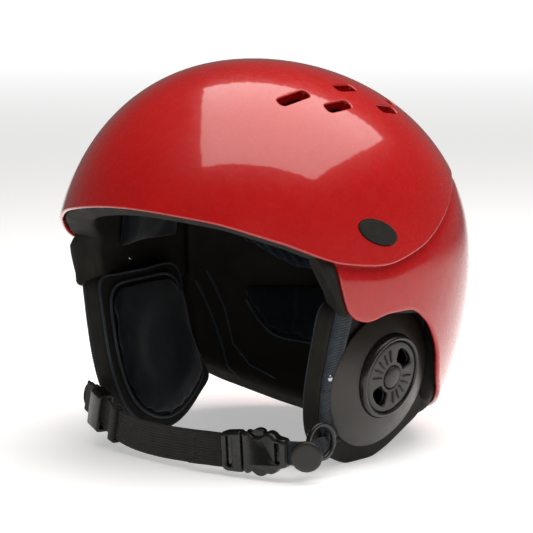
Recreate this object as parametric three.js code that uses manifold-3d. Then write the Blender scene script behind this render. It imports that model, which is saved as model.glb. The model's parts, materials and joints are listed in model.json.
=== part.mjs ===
// A water sports helmet: a gloss ABS shell with a second cover over its crown, a foam
// liner with fabric pads, two ear cups with turning sound dials, and a chin strap that
// closes with a side release buckle. Millimetres, +Z up, the wearer faces -Y and the
// wearer's left is +X. The helmet stands on its ear cups and its nape.
import * as THREE from "three";
import { mergeVertices } from "three/addons/utils/BufferGeometryUtils.js";
import Module from "manifold-3d";

const wasm = await Module();
wasm.setup();

// ---- Driving dimensions ----
// The outside of the helmet is a rounded form around a centre inside the head cavity.
const skin = {
  halfWidthFront: 100, halfWidthBack: 121, // blended from the brow to the back
  lengthFront: 123.5, lengthBack: 142.7,
  height: 119.2, depth: 158.9, // above the centre, and what it would reach below it
  fullness: 2.06, // 2 is an ellipsoid, more is squarer
};
const coverWall = 2.4;
const shellWall = 3;
const skinGap = 0.9; // clear space between the cover and the shell
const swell = { out: 2, over: 12 }; // how far the shell stands out, within so many degrees of the cover
const linerGap = 2; // and between the shell and the liner, where its glue is
const linerWall = 14;
const padWall = 6;
const padGap = 1;
const restZ = -105; // the plane that the ear cups and the nape are trimmed to
const seamAngle = 0.4; // half of the joint between two liner pieces, in degrees

const ear = {
  centre: [88, 3.7, -57], outward: [0.978, -0.075, -0.19], // middle of the cup's base plane
  foamWall: 11, webbingWall: 2.2, padWall: 5.5,
  domeWidth: 84, domeHeight: 80, domeRise: 11, domeWall: 2,
};
const dial = {
  back: -3, up: 4.6, // its middle, from the middle of the cup
  radius: 20.6, bezelWall: 3.3, thickness: 2.4, sink: 3,
  hubRadius: 6.5, hubRise: 1.6, rim: 3.4, windowInner: 9, windowAngle: 62,
  portWall: 1.6, clearance: 0.3,
};
const dialRib = { count: 4, length: 6.5, width: 1.2, rise: 1, fan: 40 }; // either side of the hub
const vent = { places: [[53, -42, -19], [67, -18, 2], [56, 5, 23], [71, 25, 44], [61, 46, 58]], width: 6.6 };
const plug = { x: 103, y: -20.5, length: 27, width: 12.6, slope: -23, proud: 0.7, clearance: 0.3 };
const webbing = { height: 19, thickness: 3, loopHeight: 13, loopThickness: 2.2, endGap: 1.6 };
const buckle = {
  mouth: [50, -71, -90.2], turn: 9, rise: 3.3, // where it parts, and how it lies along the strap
  height: 24, thickness: 9, plate: 1.6, socket: 15, root: 12, base: 13.5, fit: 0.4,
  bar: 3.5, slot: 3.6, prongWall: 2.6, tongue: 12,
};
const slider = { length: 12, wall: 2, clearance: 0.5 };
const keeper = { length: 5, wall: 1.4, clearance: 0.6 };
const ring = { centre: [86, -50, -84], radius: 9.4, wire: 1.7, turn: 80 };
const cap = { centre: [87.6, -65.3, -89.5], turn: 37, radius: 8.6, thickness: 4 };
const rivet = { radius: 2.6, thickness: 1.2, clearance: 1, strapPlace: [-45.2, 10], temple: [90, 92], lean: -12 };

const colour = {
  red: ["#c4121a", 0.12, 0], black: ["#171311", 0.35, 0], satin: ["#1c1815", 0.45, 0],
  foam: ["#4a4740", 0.85, 0], fabric: ["#141a20", 0.95, 0], strap: ["#15191c", 0.9, 0],
  steel: ["#b9bcc0", 0.3, 1],
};

// ---- The helmet's form ----
const { lerp: mix, degToRad: rad, smoothstep } = THREE.MathUtils;
const shift = (value, softness) => 0.5 + 0.5 * Math.tanh(value / softness);

function skinRadius(d) {
  const width = mix(skin.halfWidthFront, skin.halfWidthBack, shift(d.y, 0.5));
  const length = mix(skin.lengthFront, skin.lengthBack, shift(d.y, 0.5));
  const height = mix(skin.depth, skin.height, shift(d.z, 0.35));
  const n = skin.fullness;
  const sum = Math.abs(d.x / width) ** n + Math.abs(d.y / length) ** n + Math.abs(d.z / height) ** n;
  return sum ** (-1 / n);
}

// bearing: degrees round from the front towards +X; tilt: degrees down from the crown
function onSkin(bearing, tilt, inset) {
  const [p, t] = [rad(bearing), rad(tilt)];
  const d = new THREE.Vector3(Math.sin(t) * Math.sin(p), -Math.sin(t) * Math.cos(p), Math.cos(t));
  return d.multiplyScalar(skinRadius(d) - inset);
}

// A smooth curve of tilt against bearing, the same on both sides, that never overshoots.
function edgeThrough(points) {
  const last = points.length - 1;
  const secant = points.slice(1).map(([x, y], i) => (y - points[i][1]) / (x - points[i][0]));
  const slope = points.map((_, i) => {
    if (i === 0 || i === last || secant[i - 1] * secant[i] <= 0) return 0;
    return (2 * secant[i - 1] * secant[i]) / (secant[i - 1] + secant[i]);
  });
  return (bearing) => {
    const x = Math.min(Math.abs(bearing), 180);
    const i = Math.min(Math.max(points.findIndex(([px]) => px >= x), 1), last) - 1;
    const [[x0, y0], [x1, y1]] = [points[i], points[i + 1]];
    const w = x1 - x0;
    const t = (x - x0) / w;
    const a = 2 * t ** 3 - 3 * t ** 2 + 1;
    const b = t ** 3 - 2 * t ** 2 + t;
    const c = t ** 3 - t ** 2;
    return a * y0 + b * w * slope[i] + (1 - a) * y1 + c * w * slope[i + 1];
  };
}

// Lower edges, [bearing, tilt]: the cover dips to a lobe over each temple; the shell drops
// down each temple, arches over the ear cup and comes to a point behind it.
const coverEdge = edgeThrough([[0, 69.3], [24, 71.2], [45, 76.2], [66, 83], [80, 84.4], [94, 81.3],
  [110, 73.6], [126, 66.7], [150, 63], [180, 62.5]]);
const shellEdge = edgeThrough([[0, 67], [30, 69.7], [50, 75.5], [60, 79.5], [63, 82], [65, 90],
  [67.5, 97], [71, 100], [75, 101], [84, 99], [92, 98.6], [99, 102], [106, 109], [114, 119.4], [120, 123],
  [126, 126], [150, 130.2], [180, 131]]);
// Below the cover the shell and what lines it stand out a little.
const inLayer = (bearing, tilt, inset) =>
  onSkin(bearing, tilt, inset - swell.out * smoothstep(tilt - coverEdge(bearing), 0, swell.over));
const napeEdge = edgeThrough([[0, 125], [120, 125], [134, 129.7], [158, 136], [180, 138.5]]);
const linerTop = 46;
// How the layers are cut into rows of facets, from the crown down.
const crownStage = { edge: () => linerTop, count: 4 };
const coverStage = { edge: coverEdge, count: 4 };
const underCover = { edge: (bearing) => Math.min(coverEdge(bearing), shellEdge(bearing)), count: 4 };
const shellStage = { edge: shellEdge, count: 7 };
const templeFront = 59; // bearing of the foam face in front of the ear
const rearSeam = 120.5;
const templeBottom = 97;

// ---- Small modelling tools ----
function tidy(geometry) {
  geometry.deleteAttribute("normal");
  geometry.deleteAttribute("uv");
  const merged = mergeVertices(geometry, 1e-3);
  const index = [...merged.index.array];
  const kept = [];
  for (let i = 0; i < index.length; i += 3) {
    const [a, b, c] = index.slice(i, i + 3);
    if (a !== b && b !== c && c !== a) kept.push(a, b, c);
  }
  merged.setIndex(kept);
  return merged;
}

function solid(geometry) {
  const g = tidy(geometry);
  const made = (triVerts) => new wasm.Manifold(new wasm.Mesh({
    numProp: 3, vertProperties: new Float32Array(g.attributes.position.array), triVerts }));
  const body = made(new Uint32Array(g.index.array));
  return body.volume() > 0 ? body : made(new Uint32Array(g.index.array).reverse());
}

function geometryOf(body) {
  const { vertProperties, triVerts } = body.getMesh();
  const g = new THREE.BufferGeometry();
  g.setAttribute("position", new THREE.BufferAttribute(vertProperties, 3));
  g.setIndex([...triVerts]);
  g.computeVertexNormals();
  return g;
}

function piece(name, shape, finish) {
  const geometry = shape.isBufferGeometry ? geometryOf(solid(shape)) : geometryOf(shape);
  const [color, roughness, metalness] = colour[finish];
  const mesh = new THREE.Mesh(geometry, new THREE.MeshStandardMaterial({ color, roughness, metalness }));
  mesh.name = name;
  return mesh;
}

const box = (x0, x1, y0, y1, z0, z1) => new THREE.BoxGeometry(x1 - x0, y1 - y0, z1 - z0)
  .translate((x0 + x1) / 2, (y0 + y1) / 2, (z0 + z1) / 2);

// A dome that goes all the way round, from the crown down through stages: each stage's rows run
// evenly from the last stage's line to its own, so that layers that share a stage lie parallel.
const halfRound = [...steps(0, 54, 5), ...steps(60, 74, 4), ...steps(81, 123, 6), ...steps(134, 180, 4)];
const bearings = [...halfRound.slice(1).reverse().map((b) => -b), ...halfRound];
function steps(from, to, count) {
  return Array.from({ length: count + 1 }, (_, i) => mix(from, to, i / count));
}
function dome(outer, inner, ...stages) {
  const rows = stages.flatMap(({ count }, stage) => steps(0, 1, count).slice(stage ? 1 : 0)
    .map((share) => ({ stage, share })));
  const profile = [...rows.map((row) => ({ ...row, inset: outer })),
    ...rows.toReversed().map((row) => ({ ...row, inset: inner }))];
  const blank = profile.map(({ stage, share, inset }) => new THREE.Vector2(stage + share, -inset));
  const g = new THREE.LatheGeometry(blank, bearings.length - 1);
  const at = g.attributes.position;
  for (let i = 0; i < at.count; i += 1) {
    const bearing = bearings[Math.floor(i / profile.length)];
    const { stage, share, inset } = profile[i % profile.length];
    const start = stage ? stages[stage - 1].edge(bearing) : 0;
    const p = inLayer(bearing, mix(start, stages[stage].edge(bearing), share), inset);
    at.setXYZ(i, p.x, p.y, p.z);
  }
  return g;
}

// A patch of a layer, between two bearings and two tilts.
function patch(from, to, top, bottom, outer, inner, cols, rows) {
  const g = new THREE.BoxGeometry(1, 1, 1, cols, rows, 1);
  const at = g.attributes.position;
  const value = (edge, bearing) => (typeof edge === "function" ? edge(bearing) : edge);
  for (let i = 0; i < at.count; i += 1) {
    const bearing = mix(from, to, at.getX(i) + 0.5);
    const tilt = mix(value(bottom, bearing), value(top, bearing), at.getY(i) + 0.5);
    const p = inLayer(bearing, tilt, mix(inner, outer, at.getZ(i) + 0.5));
    at.setXYZ(i, p.x, p.y, p.z);
  }
  return g;
}

// The point of a layer that stands over x, y, and a frame there with Z along the normal.
function frameOver(x, y, inset) {
  const tilts = steps(1, 89, 880);
  const bearing = (Math.atan2(x, -y) * 180) / Math.PI;
  const reach = Math.hypot(x, y);
  const tilt = tilts.find((t) => {
    const p = onSkin(bearing, t, 0);
    return Math.hypot(p.x, p.y) >= reach;
  });
  const p = onSkin(bearing, tilt, inset);
  const down = onSkin(bearing, tilt + 1, inset).sub(p);
  const along = onSkin(bearing + 1, tilt, inset).sub(p);
  const normal = down.cross(along).normalize();
  return new THREE.Matrix4().makeTranslation(p.x, p.y, p.z).multiply(new THREE.Matrix4()
    .makeBasis(...basisFrom(normal, new THREE.Vector3(0, 1, 0))));
}
function basisFrom(normal, forward) {
  const side = forward.clone().cross(normal).normalize();
  return [side, normal.clone().cross(side), normal];
}

const polygon = (points) => new THREE.Shape(points.map(([x, y]) => new THREE.Vector2(x, y)));

// A slot outline with its four corners cut off.
function slotShape(length, width) {
  const [w, h, c] = [width / 2, length / 2, width * 0.3];
  return polygon([[w, c - h], [w, h - c], [w - c, h], [c - w, h], [-w, h - c], [-w, c - h], [c - w, -h],
    [w - c, -h]]);
}
function extrude(shape, from, to, curveSegments = 4) {
  const g = new THREE.ExtrudeGeometry(shape, { depth: to - from, bevelEnabled: false, curveSegments });
  return g.translate(0, 0, from);
}
const bothSides = (body) => body.add(body.mirror([1, 0, 0]));
const belowRest = solid(box(-200, 200, -200, 200, restZ - 60, restZ));

// ---- Shells ----
const shellOuter = coverWall + skinGap;
const shellInner = shellOuter + shellWall;
const linerOuter = shellInner + linerGap;
const linerInner = linerOuter + linerWall;
const padOuter = linerInner + padGap;
const padInner = padOuter + padWall;

// Vent slots through the cover, the shell and the liner, five a side.
const ventCuts = vent.places.map(([x, front, back]) => {
  const slot = extrude(slotShape(back - front, vent.width), -linerInner - 8, 8);
  return bothSides(solid(slot.applyMatrix4(frameOver(x, (front + back) / 2, 0))));
}).reduce((all, cut) => all.add(cut));

const plugShape = (grow) => {
  const s = new THREE.Shape();
  s.absellipse(0, 0, plug.width / 2 + grow, plug.length / 2 + grow, 0, 2 * Math.PI);
  return s;
};
const plugFrame = frameOver(plug.x, plug.y, 0).multiply(new THREE.Matrix4().makeRotationZ(rad(plug.slope)));
const plugHole = solid(extrude(plugShape(plug.clearance), -shellOuter + 0.2, 6).applyMatrix4(plugFrame));

const helmet = new THREE.Group();
const cover = solid(dome(0, coverWall, crownStage, coverStage)).subtract(ventCuts);
helmet.add(piece("crown_cover", cover.subtract(bothSides(plugHole)), "red"));
const shell = solid(dome(shellOuter, shellInner, crownStage, underCover, shellStage)).subtract(ventCuts);
helmet.add(piece("main_shell", shell, "red"));

// ---- Liner, in one crown piece, a brow piece, two temple pieces and a rear piece ----
const crownLiner = solid(dome(linerOuter, linerInner, crownStage)).subtract(ventCuts);
const sideTop = linerTop + 2 * seamAngle;
const browBottom = (bearing) => coverEdge(bearing) - 0.6;
helmet.add(piece("liner_crown", crownLiner, "foam"));
helmet.add(piece("liner_brow", patch(-templeFront + seamAngle, templeFront - seamAngle, sideTop, browBottom,
  linerOuter, linerInner, 16, 4), "foam"));
const rearLiner = solid(patch(rearSeam + seamAngle, 360 - rearSeam - seamAngle, sideTop,
  (b) => napeEdge(b > 180 ? 360 - b : b), linerOuter, linerInner, 16, 11)).subtract(belowRest);
helmet.add(piece("liner_rear", rearLiner, "foam"));

// ---- Fabric pads inside the liner ----
helmet.add(piece("crown_pad", dome(padOuter, padInner, { edge: () => linerTop / 2, count: 2 }), "fabric"));
const padTop = 54; // tilt of the top edge of the pads round the head
const layPad = (name, from, to, top, bottom, cols, rows) => {
  return piece(name, patch(from, to, top, bottom, padOuter, padInner, cols, rows), "fabric");
};
helmet.add(layPad("brow_pad", -50, 50, padTop, (b) => browBottom(b) - 3, 14, 3));
helmet.add(layPad("rear_pad", 128, 232, padTop, 100, 14, 6));
helmet.add(layPad("nape_pad", 134, 226, 102, 124, 12, 3));

// ---- The ear cup, in its own frame: X outward, Y rearward, Z up ----
const earOut = new THREE.Vector3(...ear.outward).normalize();
const earBack = new THREE.Vector3(0, 0, 1).cross(earOut).normalize();
const earFrame = new THREE.Matrix4().makeBasis(earOut, earBack, earOut.clone().cross(earBack))
  .setPosition(...ear.centre);
const foamTop = -ear.webbingWall - 2 * dial.clearance; // outer face of the foam, below the webbing
const foamBase = foamTop - ear.foamWall;

// An outline in Y, Z through points, given thickness along X.
function slab(points, from, to, divisions = 30) {
  const curve = new THREE.SplineCurve(points.map(([y, z]) => new THREE.Vector2(y, z)));
  const outline = new THREE.Shape(curve.getSpacedPoints(divisions).slice(0, -1));
  return extrude(outline, from, to).applyMatrix4(sideways);
}
const sideways = new THREE.Matrix4().makeBasis(new THREE.Vector3(0, 1, 0), new THREE.Vector3(0, 0, 1),
  new THREE.Vector3(1, 0, 0));
const foamOutline = [[-47, 43], [-49.5, 22], [-50, 0], [-47.5, -18], [-41, -34], [-26, -45.5],
  [-4, -51.8], [18, -47], [38, -35.5], [50, -28], [45, -17], [38, -2], [36, 22], [30, 40], [0, 42],
  [-30, 42.5], [-47, 43]];
const padShare = [0.84, 0.86]; // the comfort pad's width and height, as shares of the foam's
const padMiddle = [-2, -3];
const padOutline = foamOutline.map((point) => point.map((v, i) => mix(padMiddle[i], v, padShare[i])));
const round = (radius, from, to, y = 0, z = 0, sides = 24) =>
  new THREE.CylinderGeometry(radius, radius, to - from, sides).rotateZ(-Math.PI / 2)
    .translate((from + to) / 2, y, z);
const tube = (outer, inner, from, to, y, z) => solid(round(outer, from, to, y, z))
  .subtract(solid(round(inner, from - 1, to + 1, y, z)));

// The cup's height over its base plane, shared by the dome and by what is let into it.
const windowOuter = dial.radius - dial.rim;
const bezelSeat = dial.radius + dial.bezelWall + 2 * dial.clearance; // radius of the dome's opening
const domeHeight = (share) => ear.domeRise * (1 - share ** 2.4);
function domeSolid(inset) {
  const [w, h] = [ear.domeWidth / 2 - inset, ear.domeHeight / 2 - inset];
  const profile = steps(0, 1, 5).map((t) => new THREE.Vector2(t, domeHeight(t) - inset * (1 - t)));
  const base = inset > 0 ? -inset / 2 - 1.5 : 0;
  profile.push(new THREE.Vector2(1, base), new THREE.Vector2(0, base));
  return solid(new THREE.LatheGeometry(profile, 24).rotateZ(-Math.PI / 2).scale(1, h, w)
    .rotateX(Math.PI / 2));
}

const dialFace = domeHeight(Math.hypot(dial.back, dial.up) / (ear.domeWidth / 2)); // the dome's surface there
const dialTop = dialFace - dial.sink + dial.thickness; // outer face of the dial
const dialBase = dialTop - dial.thickness;
const portTop = dialBase - dial.clearance;
const portBase = portTop - dial.portWall;

function sector(from, to, angle) {
  const s = new THREE.Shape();
  const half = rad(dial.windowAngle / 2);
  s.absarc(0, 0, windowOuter, angle - half, angle + half);
  s.absarc(0, 0, dial.windowInner, angle + half, angle - half, true);
  s.closePath();
  return solid(extrude(s, from, to, 5).applyMatrix4(sideways).translate(0, dial.back, dial.up));
}
const windowAngles = [rad(52), rad(232)];
const windows = (from, to) => sector(from, to, windowAngles[0]).add(sector(from, to, windowAngles[1]));

// Finger ribs fan out between the windows, on both sides of the hub.
function fingerRibs() {
  const { length, width, rise, fan, count } = dialRib;
  const middle = (dial.windowInner + windowOuter) / 2;
  const ribs = windowAngles.flatMap((angle) => steps(-fan, fan, count - 1).map((offset) => {
    const rib = new THREE.BoxGeometry(2 * rise, length, width).translate(dialTop, middle, 0);
    rib.rotateX(angle + rad(90 + offset));
    return solid(rib.translate(0, dial.back, dial.up));
  }));
  return ribs.reduce((all, rib) => all.add(rib));
}

function earCup(side, sign) {
  const cup = new THREE.Group();
  cup.scale.x = sign;
  const local = new THREE.Group();
  local.applyMatrix4(earFrame);
  cup.add(local);
  const rest = belowRest.transform([...earFrame.clone().invert().elements]);
  const foam = solid(slab(foamOutline, foamBase, foamTop, 44)).subtract(rest);
  local.add(piece(`ear_foam_${side}`, foam, "foam"));
  local.add(piece(`ear_pad_${side}`, slab(padOutline, foamBase - padGap / 2 - ear.padWall,
    foamBase - padGap / 2, 30), "fabric"));

  const seat = solid(round(bezelSeat, portBase - dial.clearance, 30, dial.back, dial.up));
  const port = solid(round(windowOuter + 1.5, -10, 30, dial.back, dial.up));
  const dome = domeSolid(0).subtract(domeSolid(ear.domeWall)).subtract(seat).subtract(port);
  local.add(piece(`ear_dome_${side}`, dome, "satin"));
  const bezel = tube(bezelSeat - dial.clearance, dial.radius + dial.clearance, portBase, dialFace,
    dial.back, dial.up);
  const plate = solid(round(dial.radius, portBase, portTop, dial.back, dial.up))
    .subtract(windows(portBase - 1, portTop + 1));
  local.add(piece(`ear_bezel_${side}`, bezel, "satin"));
  local.add(piece(`ear_port_plate_${side}`, plate, "black"));
  const knob = solid(round(dial.radius, dialBase, dialTop, dial.back, dial.up))
    .subtract(windows(dialBase - 1, dialTop + 1)).add(fingerRibs())
    .subtract(solid(round(dial.hubRadius + dial.clearance, dialBase - 1, 30, dial.back, dial.up)));
  local.add(piece(`ear_dial_${side}`, knob, "satin"));
  local.add(piece(`dial_hub_${side}`, round(dial.hubRadius, dialBase, dialTop + dial.hubRise, dial.back,
    dial.up, 16), "satin"));

  // Ribbed webbing down the front of the cup, pressed between its foam and its dome.
  const webbingFrom = foamTop + dial.clearance;
  const front = [[-47, 40], [-48.5, 22], [-48.6, 0], [-46, -18], [-40, -31]];
  const back = front.map(([y, z], i) => [y + 15 - i * 0.9, z + i * 0.6]).reverse();
  local.add(piece(`ear_strap_${side}`, slab([...front, ...back, front[0]], webbingFrom,
    webbingFrom + ear.webbingWall - dial.clearance, 26), "strap"));
  const rivetBase = 0.2;
  local.add(piece(`strap_rivet_${side}`, round(rivet.radius, rivetBase, rivetBase + rivet.thickness,
    ...rivet.strapPlace, 12), "steel"));
  return cup;
}

// ---- What each side of the head carries, mirrored from left to right ----
for (const [side, sign] of [["left", 1], ["right", -1]]) {
  const half = new THREE.Group();
  half.scale.x = sign;
  half.add(piece(`side_plug_${side}`, extrude(plugShape(0), -shellOuter + 0.5, plug.proud)
    .applyMatrix4(plugFrame), "black"));
  half.add(piece(`liner_temple_${side}`, patch(templeFront + seamAngle, rearSeam - seamAngle, sideTop,
    templeBottom, linerOuter, linerInner, 9, 6), "foam"));
  half.add(layPad(`side_pad_${side}`, 74, 116, padTop, 88, 6, 4));
  const stud = new THREE.CylinderGeometry(rivet.radius, rivet.radius, rivet.thickness, 12);
  const studAt = inLayer(...rivet.temple, linerInner + rivet.clearance + rivet.thickness / 2);
  half.add(piece(`temple_rivet_${side}`, stud.rotateZ(Math.PI / 2).rotateZ(rad(rivet.lean))
    .translate(...studAt.toArray()), "steel"));
  helmet.add(half, earCup(side, sign));
}

// ---- Chin strap: webbing on edge, from the slider at the right ear to the buckle ----
const buckleFrame = new THREE.Matrix4().makeTranslation(...buckle.mouth)
  .multiply(new THREE.Matrix4().makeRotationZ(rad(buckle.turn)))
  .multiply(new THREE.Matrix4().makeRotationY(-rad(buckle.rise)));
const inBuckle = (x, y, z) => new THREE.Vector3(x, y, z).applyMatrix4(buckleFrame);
const webbingEnd = inBuckle(-buckle.base - webbing.endGap, 0, 0);
const chinPoints = [[-80, -54, -77.5], [-68.5, -58.5, -81], [-57, -63, -84.5], [-45.5, -67.5, -88],
  [-29, -71, -90.8], [-9, -73.5, -91.8], [14, -75, -91.4], [28, -74.9, -90.9]];
const chinLine = new THREE.CatmullRomCurve3([...chinPoints.map((p) => new THREE.Vector3(...p)), webbingEnd]);

// A frame on the strap: X along it, Y through it towards the neck, Z up its height.
function strapFrame(line, share) {
  const along = line.getTangentAt(share);
  const through = new THREE.Vector3(0, 0, 1).cross(along).normalize();
  return new THREE.Matrix4().makeBasis(along, through, along.clone().cross(through))
    .setPosition(line.getPointAt(share));
}
function band(line, height, thickness, count) {
  const g = new THREE.BoxGeometry(1, thickness, height, count, 1, 1);
  const at = g.attributes.position;
  for (let i = 0; i < at.count; i += 1) {
    const p = new THREE.Vector3(0, at.getY(i), at.getZ(i));
    p.applyMatrix4(strapFrame(line, Math.min(Math.max(at.getX(i) + 0.5, 0), 1)));
    at.setXYZ(i, p.x, p.y, p.z);
  }
  return g;
}
// A rectangular loop round the webbing.
function loopRound({ length, wall, clearance }) {
  const [t, h] = [webbing.thickness / 2 + clearance, webbing.height / 2 + clearance];
  return solid(box(-length / 2, length / 2, -t - wall, t + wall, -h - wall, h + wall))
    .subtract(solid(box(-length, length, -t, t, -h, h)));
}
const placed = (body, frame) => geometryOf(body).applyMatrix4(frame);
const sliderShare = 0.16; // of the strap's length: the middle of its straight run by the ear
const keeperShare = 0.31;
helmet.add(piece("chin_webbing", band(chinLine, webbing.height, webbing.thickness, 24), "strap"));
helmet.add(piece("strap_slider", placed(loopRound(slider), strapFrame(chinLine, sliderShare)), "black"));
helmet.add(piece("keeper_loop", placed(loopRound(keeper), strapFrame(chinLine, keeperShare)), "black"));

// ---- Side release buckle, in its own frame: X along the strap, Y rearward, Z up ----
const upright = (points, halfThickness) =>
  extrude(polygon(points), -halfThickness, halfThickness).rotateX(Math.PI / 2);
const mirrored = (points) => [...points, ...points.toReversed().map(([x, z]) => [x, -z])];
const [bh, bt] = [buckle.height / 2, buckle.thickness / 2];
const inside = bt - buckle.plate;
const rear = buckle.socket + buckle.root;
const femaleOutline = mirrored([[0, bh - 1.2], [3, bh], [5.5, bh - 1], [buckle.socket, bh - 1],
  [buckle.socket + 2, bh], [buckle.socket + 6, bh - 3.2], [rear, bh - 4.4]]);
const slot = (from, half) => solid(box(from, from + buckle.slot, -bt - 1, bt + 1, -half, half));
const female = solid(upright(femaleOutline, bt))
  .subtract(solid(box(-1, buckle.socket, -inside, inside, -bh - 1, bh + 1)))
  .subtract(slot(rear - buckle.bar - buckle.slot, webbing.loopHeight / 2 - 1));
const maleOutline = mirrored([[-buckle.base, bh - 2.5], [3 - buckle.base, bh - 0.5],
  [-2 * buckle.fit, bh - 0.5]]);
const male = solid(upright(maleOutline, bt - buckle.fit))
  .add(solid(box(-2, buckle.tongue, 1 - inside, inside - 1, -2, 2)))
  .subtract(slot(buckle.bar - buckle.base, webbing.height / 2 - 1));
helmet.add(piece("buckle_female", placed(female, buckleFrame), "black"));
helmet.add(piece("buckle_male", placed(male, buckleFrame), "black"));
const prongTip = buckle.socket - 1;
const prongOuter = bh - 2;
const prongInner = prongOuter - buckle.prongWall;
for (const [name, sign] of [["upper", 1], ["lower", -1]]) {
  const outline = [[-buckle.fit, prongInner], [prongTip, prongInner - 0.8], [prongTip, prongOuter + 1.5],
    [prongTip - 4, bh + 0.8], [prongTip - 7, prongOuter], [-buckle.fit, prongOuter]];
  const prong = upright(outline.map(([x, z]) => [x, z * sign]), inside - buckle.fit);
  helmet.add(piece(`buckle_prong_${name}`, prong.applyMatrix4(buckleFrame), "black"));
}

// ---- Loop that holds the buckle to the left ear ----
// A frame at a place, turned about Z from facing the front, with its Z facing outward.
const facing = ({ centre, turn }) => new THREE.Matrix4().makeTranslation(...centre)
  .multiply(new THREE.Matrix4().makeRotationZ(rad(turn)))
  .multiply(new THREE.Matrix4().makeRotationX(Math.PI / 2));
const inRing = (x, y, z) => new THREE.Vector3(x, y, z).applyMatrix4(facing(ring));
const wire = new THREE.TorusGeometry(ring.radius, ring.wire, 8, 20);
helmet.add(piece("strap_loop", wire.applyMatrix4(facing(ring)), "black"));
const loopEnd = inRing(-ring.radius - ring.wire - webbing.endGap, -2, 0);
const loopLine = new THREE.CatmullRomCurve3([inBuckle(rear + webbing.endGap, 0, 0),
  inBuckle(rear + 2 * webbing.endGap, 0, 0), loopEnd]);
helmet.add(piece("loop_webbing", band(loopLine, webbing.loopHeight, webbing.loopThickness, 5), "strap"));
const button = new THREE.CylinderGeometry(cap.radius, cap.radius - 0.8, cap.thickness, 24);
helmet.add(piece("loop_cap", button.rotateX(-Math.PI / 2).applyMatrix4(facing(cap)), "black"));

// ---- The helmet stands on z = 0, centred over the origin ----
const size = new THREE.Box3().setFromObject(helmet, true);
helmet.position.set(0, -(size.min.y + size.max.y) / 2, -size.min.z);

export default helmet;
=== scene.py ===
import json
import math

import bmesh
import bpy
import numpy as np
from mathutils import Matrix, Vector


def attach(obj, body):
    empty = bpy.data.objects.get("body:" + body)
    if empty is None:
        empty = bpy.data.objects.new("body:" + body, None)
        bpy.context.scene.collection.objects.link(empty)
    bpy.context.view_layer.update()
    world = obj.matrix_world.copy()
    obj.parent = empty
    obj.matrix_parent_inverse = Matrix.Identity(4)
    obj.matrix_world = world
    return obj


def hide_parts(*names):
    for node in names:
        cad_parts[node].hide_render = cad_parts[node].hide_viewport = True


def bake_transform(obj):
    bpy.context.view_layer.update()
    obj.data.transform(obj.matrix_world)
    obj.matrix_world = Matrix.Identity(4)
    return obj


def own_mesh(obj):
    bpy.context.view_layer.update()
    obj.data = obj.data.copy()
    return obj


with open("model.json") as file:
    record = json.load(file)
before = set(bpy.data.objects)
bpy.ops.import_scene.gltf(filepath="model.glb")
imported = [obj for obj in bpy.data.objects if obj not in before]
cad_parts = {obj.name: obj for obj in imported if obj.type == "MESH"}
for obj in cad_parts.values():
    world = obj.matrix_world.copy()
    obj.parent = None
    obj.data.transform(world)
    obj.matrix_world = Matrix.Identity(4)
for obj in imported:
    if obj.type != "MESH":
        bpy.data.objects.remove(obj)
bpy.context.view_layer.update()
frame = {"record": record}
mounts = {m["name"]: Vector(m["pos_m"]) for m in frame["record"]["mounts"]}
head = mounts["head"]  # the middle of the shell's form; the sizes below are millimetres from it
MM = 0.001

# ==== Camera, light and floor ====
# The helmet stands on a white floor, seen from its front left. A large overhead softbox and the
# ceiling's bounce light it, with a weak fill from its left; the floor glows white behind it.
camera = bpy.data.objects.new("camera", bpy.data.cameras.new("camera"))
camera.location = head + Vector((0.78081, -1.02116, 0.17992))
camera.rotation_euler = (math.radians(82), 0, math.radians(37))
camera.data.lens, camera.data.sensor_width = 151.37, 36
bpy.context.collection.objects.link(camera)
bpy.context.scene.camera = camera
bpy.context.scene.view_settings.view_transform = "Standard"


def lamp(name, place, aim, size, power, colour=(1, 1, 1)):
    light = bpy.data.lights.new(name, "AREA")
    light.shape, light.size, light.size_y, light.energy, light.color = "RECTANGLE", *size, power, colour
    made = bpy.data.objects.new(name, light)
    made.location = place
    made.rotation_euler = (Vector(place) - Vector(aim)).to_track_quat("Z", "Y").to_euler()
    bpy.context.collection.objects.link(made)
    return made


softbox = lamp("softbox", head + Vector((0.4, 0.3, 1.08)), head, (1.5, 1.35), 19, (1, 0.97, 0.93))
bounce = lamp("bounce", head + Vector((0.1, -0.1, 1.1)), head, (1.5, 1.5), 8, (1, 0.97, 0.93))
for overhead in (softbox, bounce):
    overhead.rotation_euler = (0, 0, math.radians(37))
fill = lamp("fill", head + Vector((1.7, -0.9, 0.5)), head, (0.6, 1.2), 4, (1, 0.95, 0.88))
bounce.visible_glossy = fill.visible_glossy = False

world = bpy.data.worlds.new("room")
bpy.context.scene.world = world
world.use_nodes = True
tree = world.node_tree
place = tree.nodes.new("ShaderNodeTexCoord")
split = tree.nodes.new("ShaderNodeSeparateXYZ")
walls = tree.nodes.new("ShaderNodeValToRGB")
tree.links.new(place.outputs["Generated"], split.inputs[0])
tree.links.new(split.outputs["Z"], walls.inputs["Fac"])
tree.links.new(walls.outputs["Color"], tree.nodes["Background"].inputs["Color"])
tree.nodes["Background"].inputs["Strength"].default_value = 1
walls.color_ramp.elements[0].position, walls.color_ramp.elements[0].color = 0.1, (0.14, 0.135, 0.13, 1)
walls.color_ramp.elements[1].position, walls.color_ramp.elements[1].color = 0.5, (0.06, 0.06, 0.06, 1)


def material(name, roughness, **sockets):
    """A node material; sockets are constants set on the shader itself."""
    mat = bpy.data.materials.new(name)
    mat.use_nodes = True
    shader = mat.node_tree.nodes["Principled BSDF"]
    shader.inputs["Roughness"].default_value = roughness
    for socket, value in sockets.items():
        shader.inputs[socket.replace("_", " ").title().replace("Ior", "IOR")].default_value = value
    return mat


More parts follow.
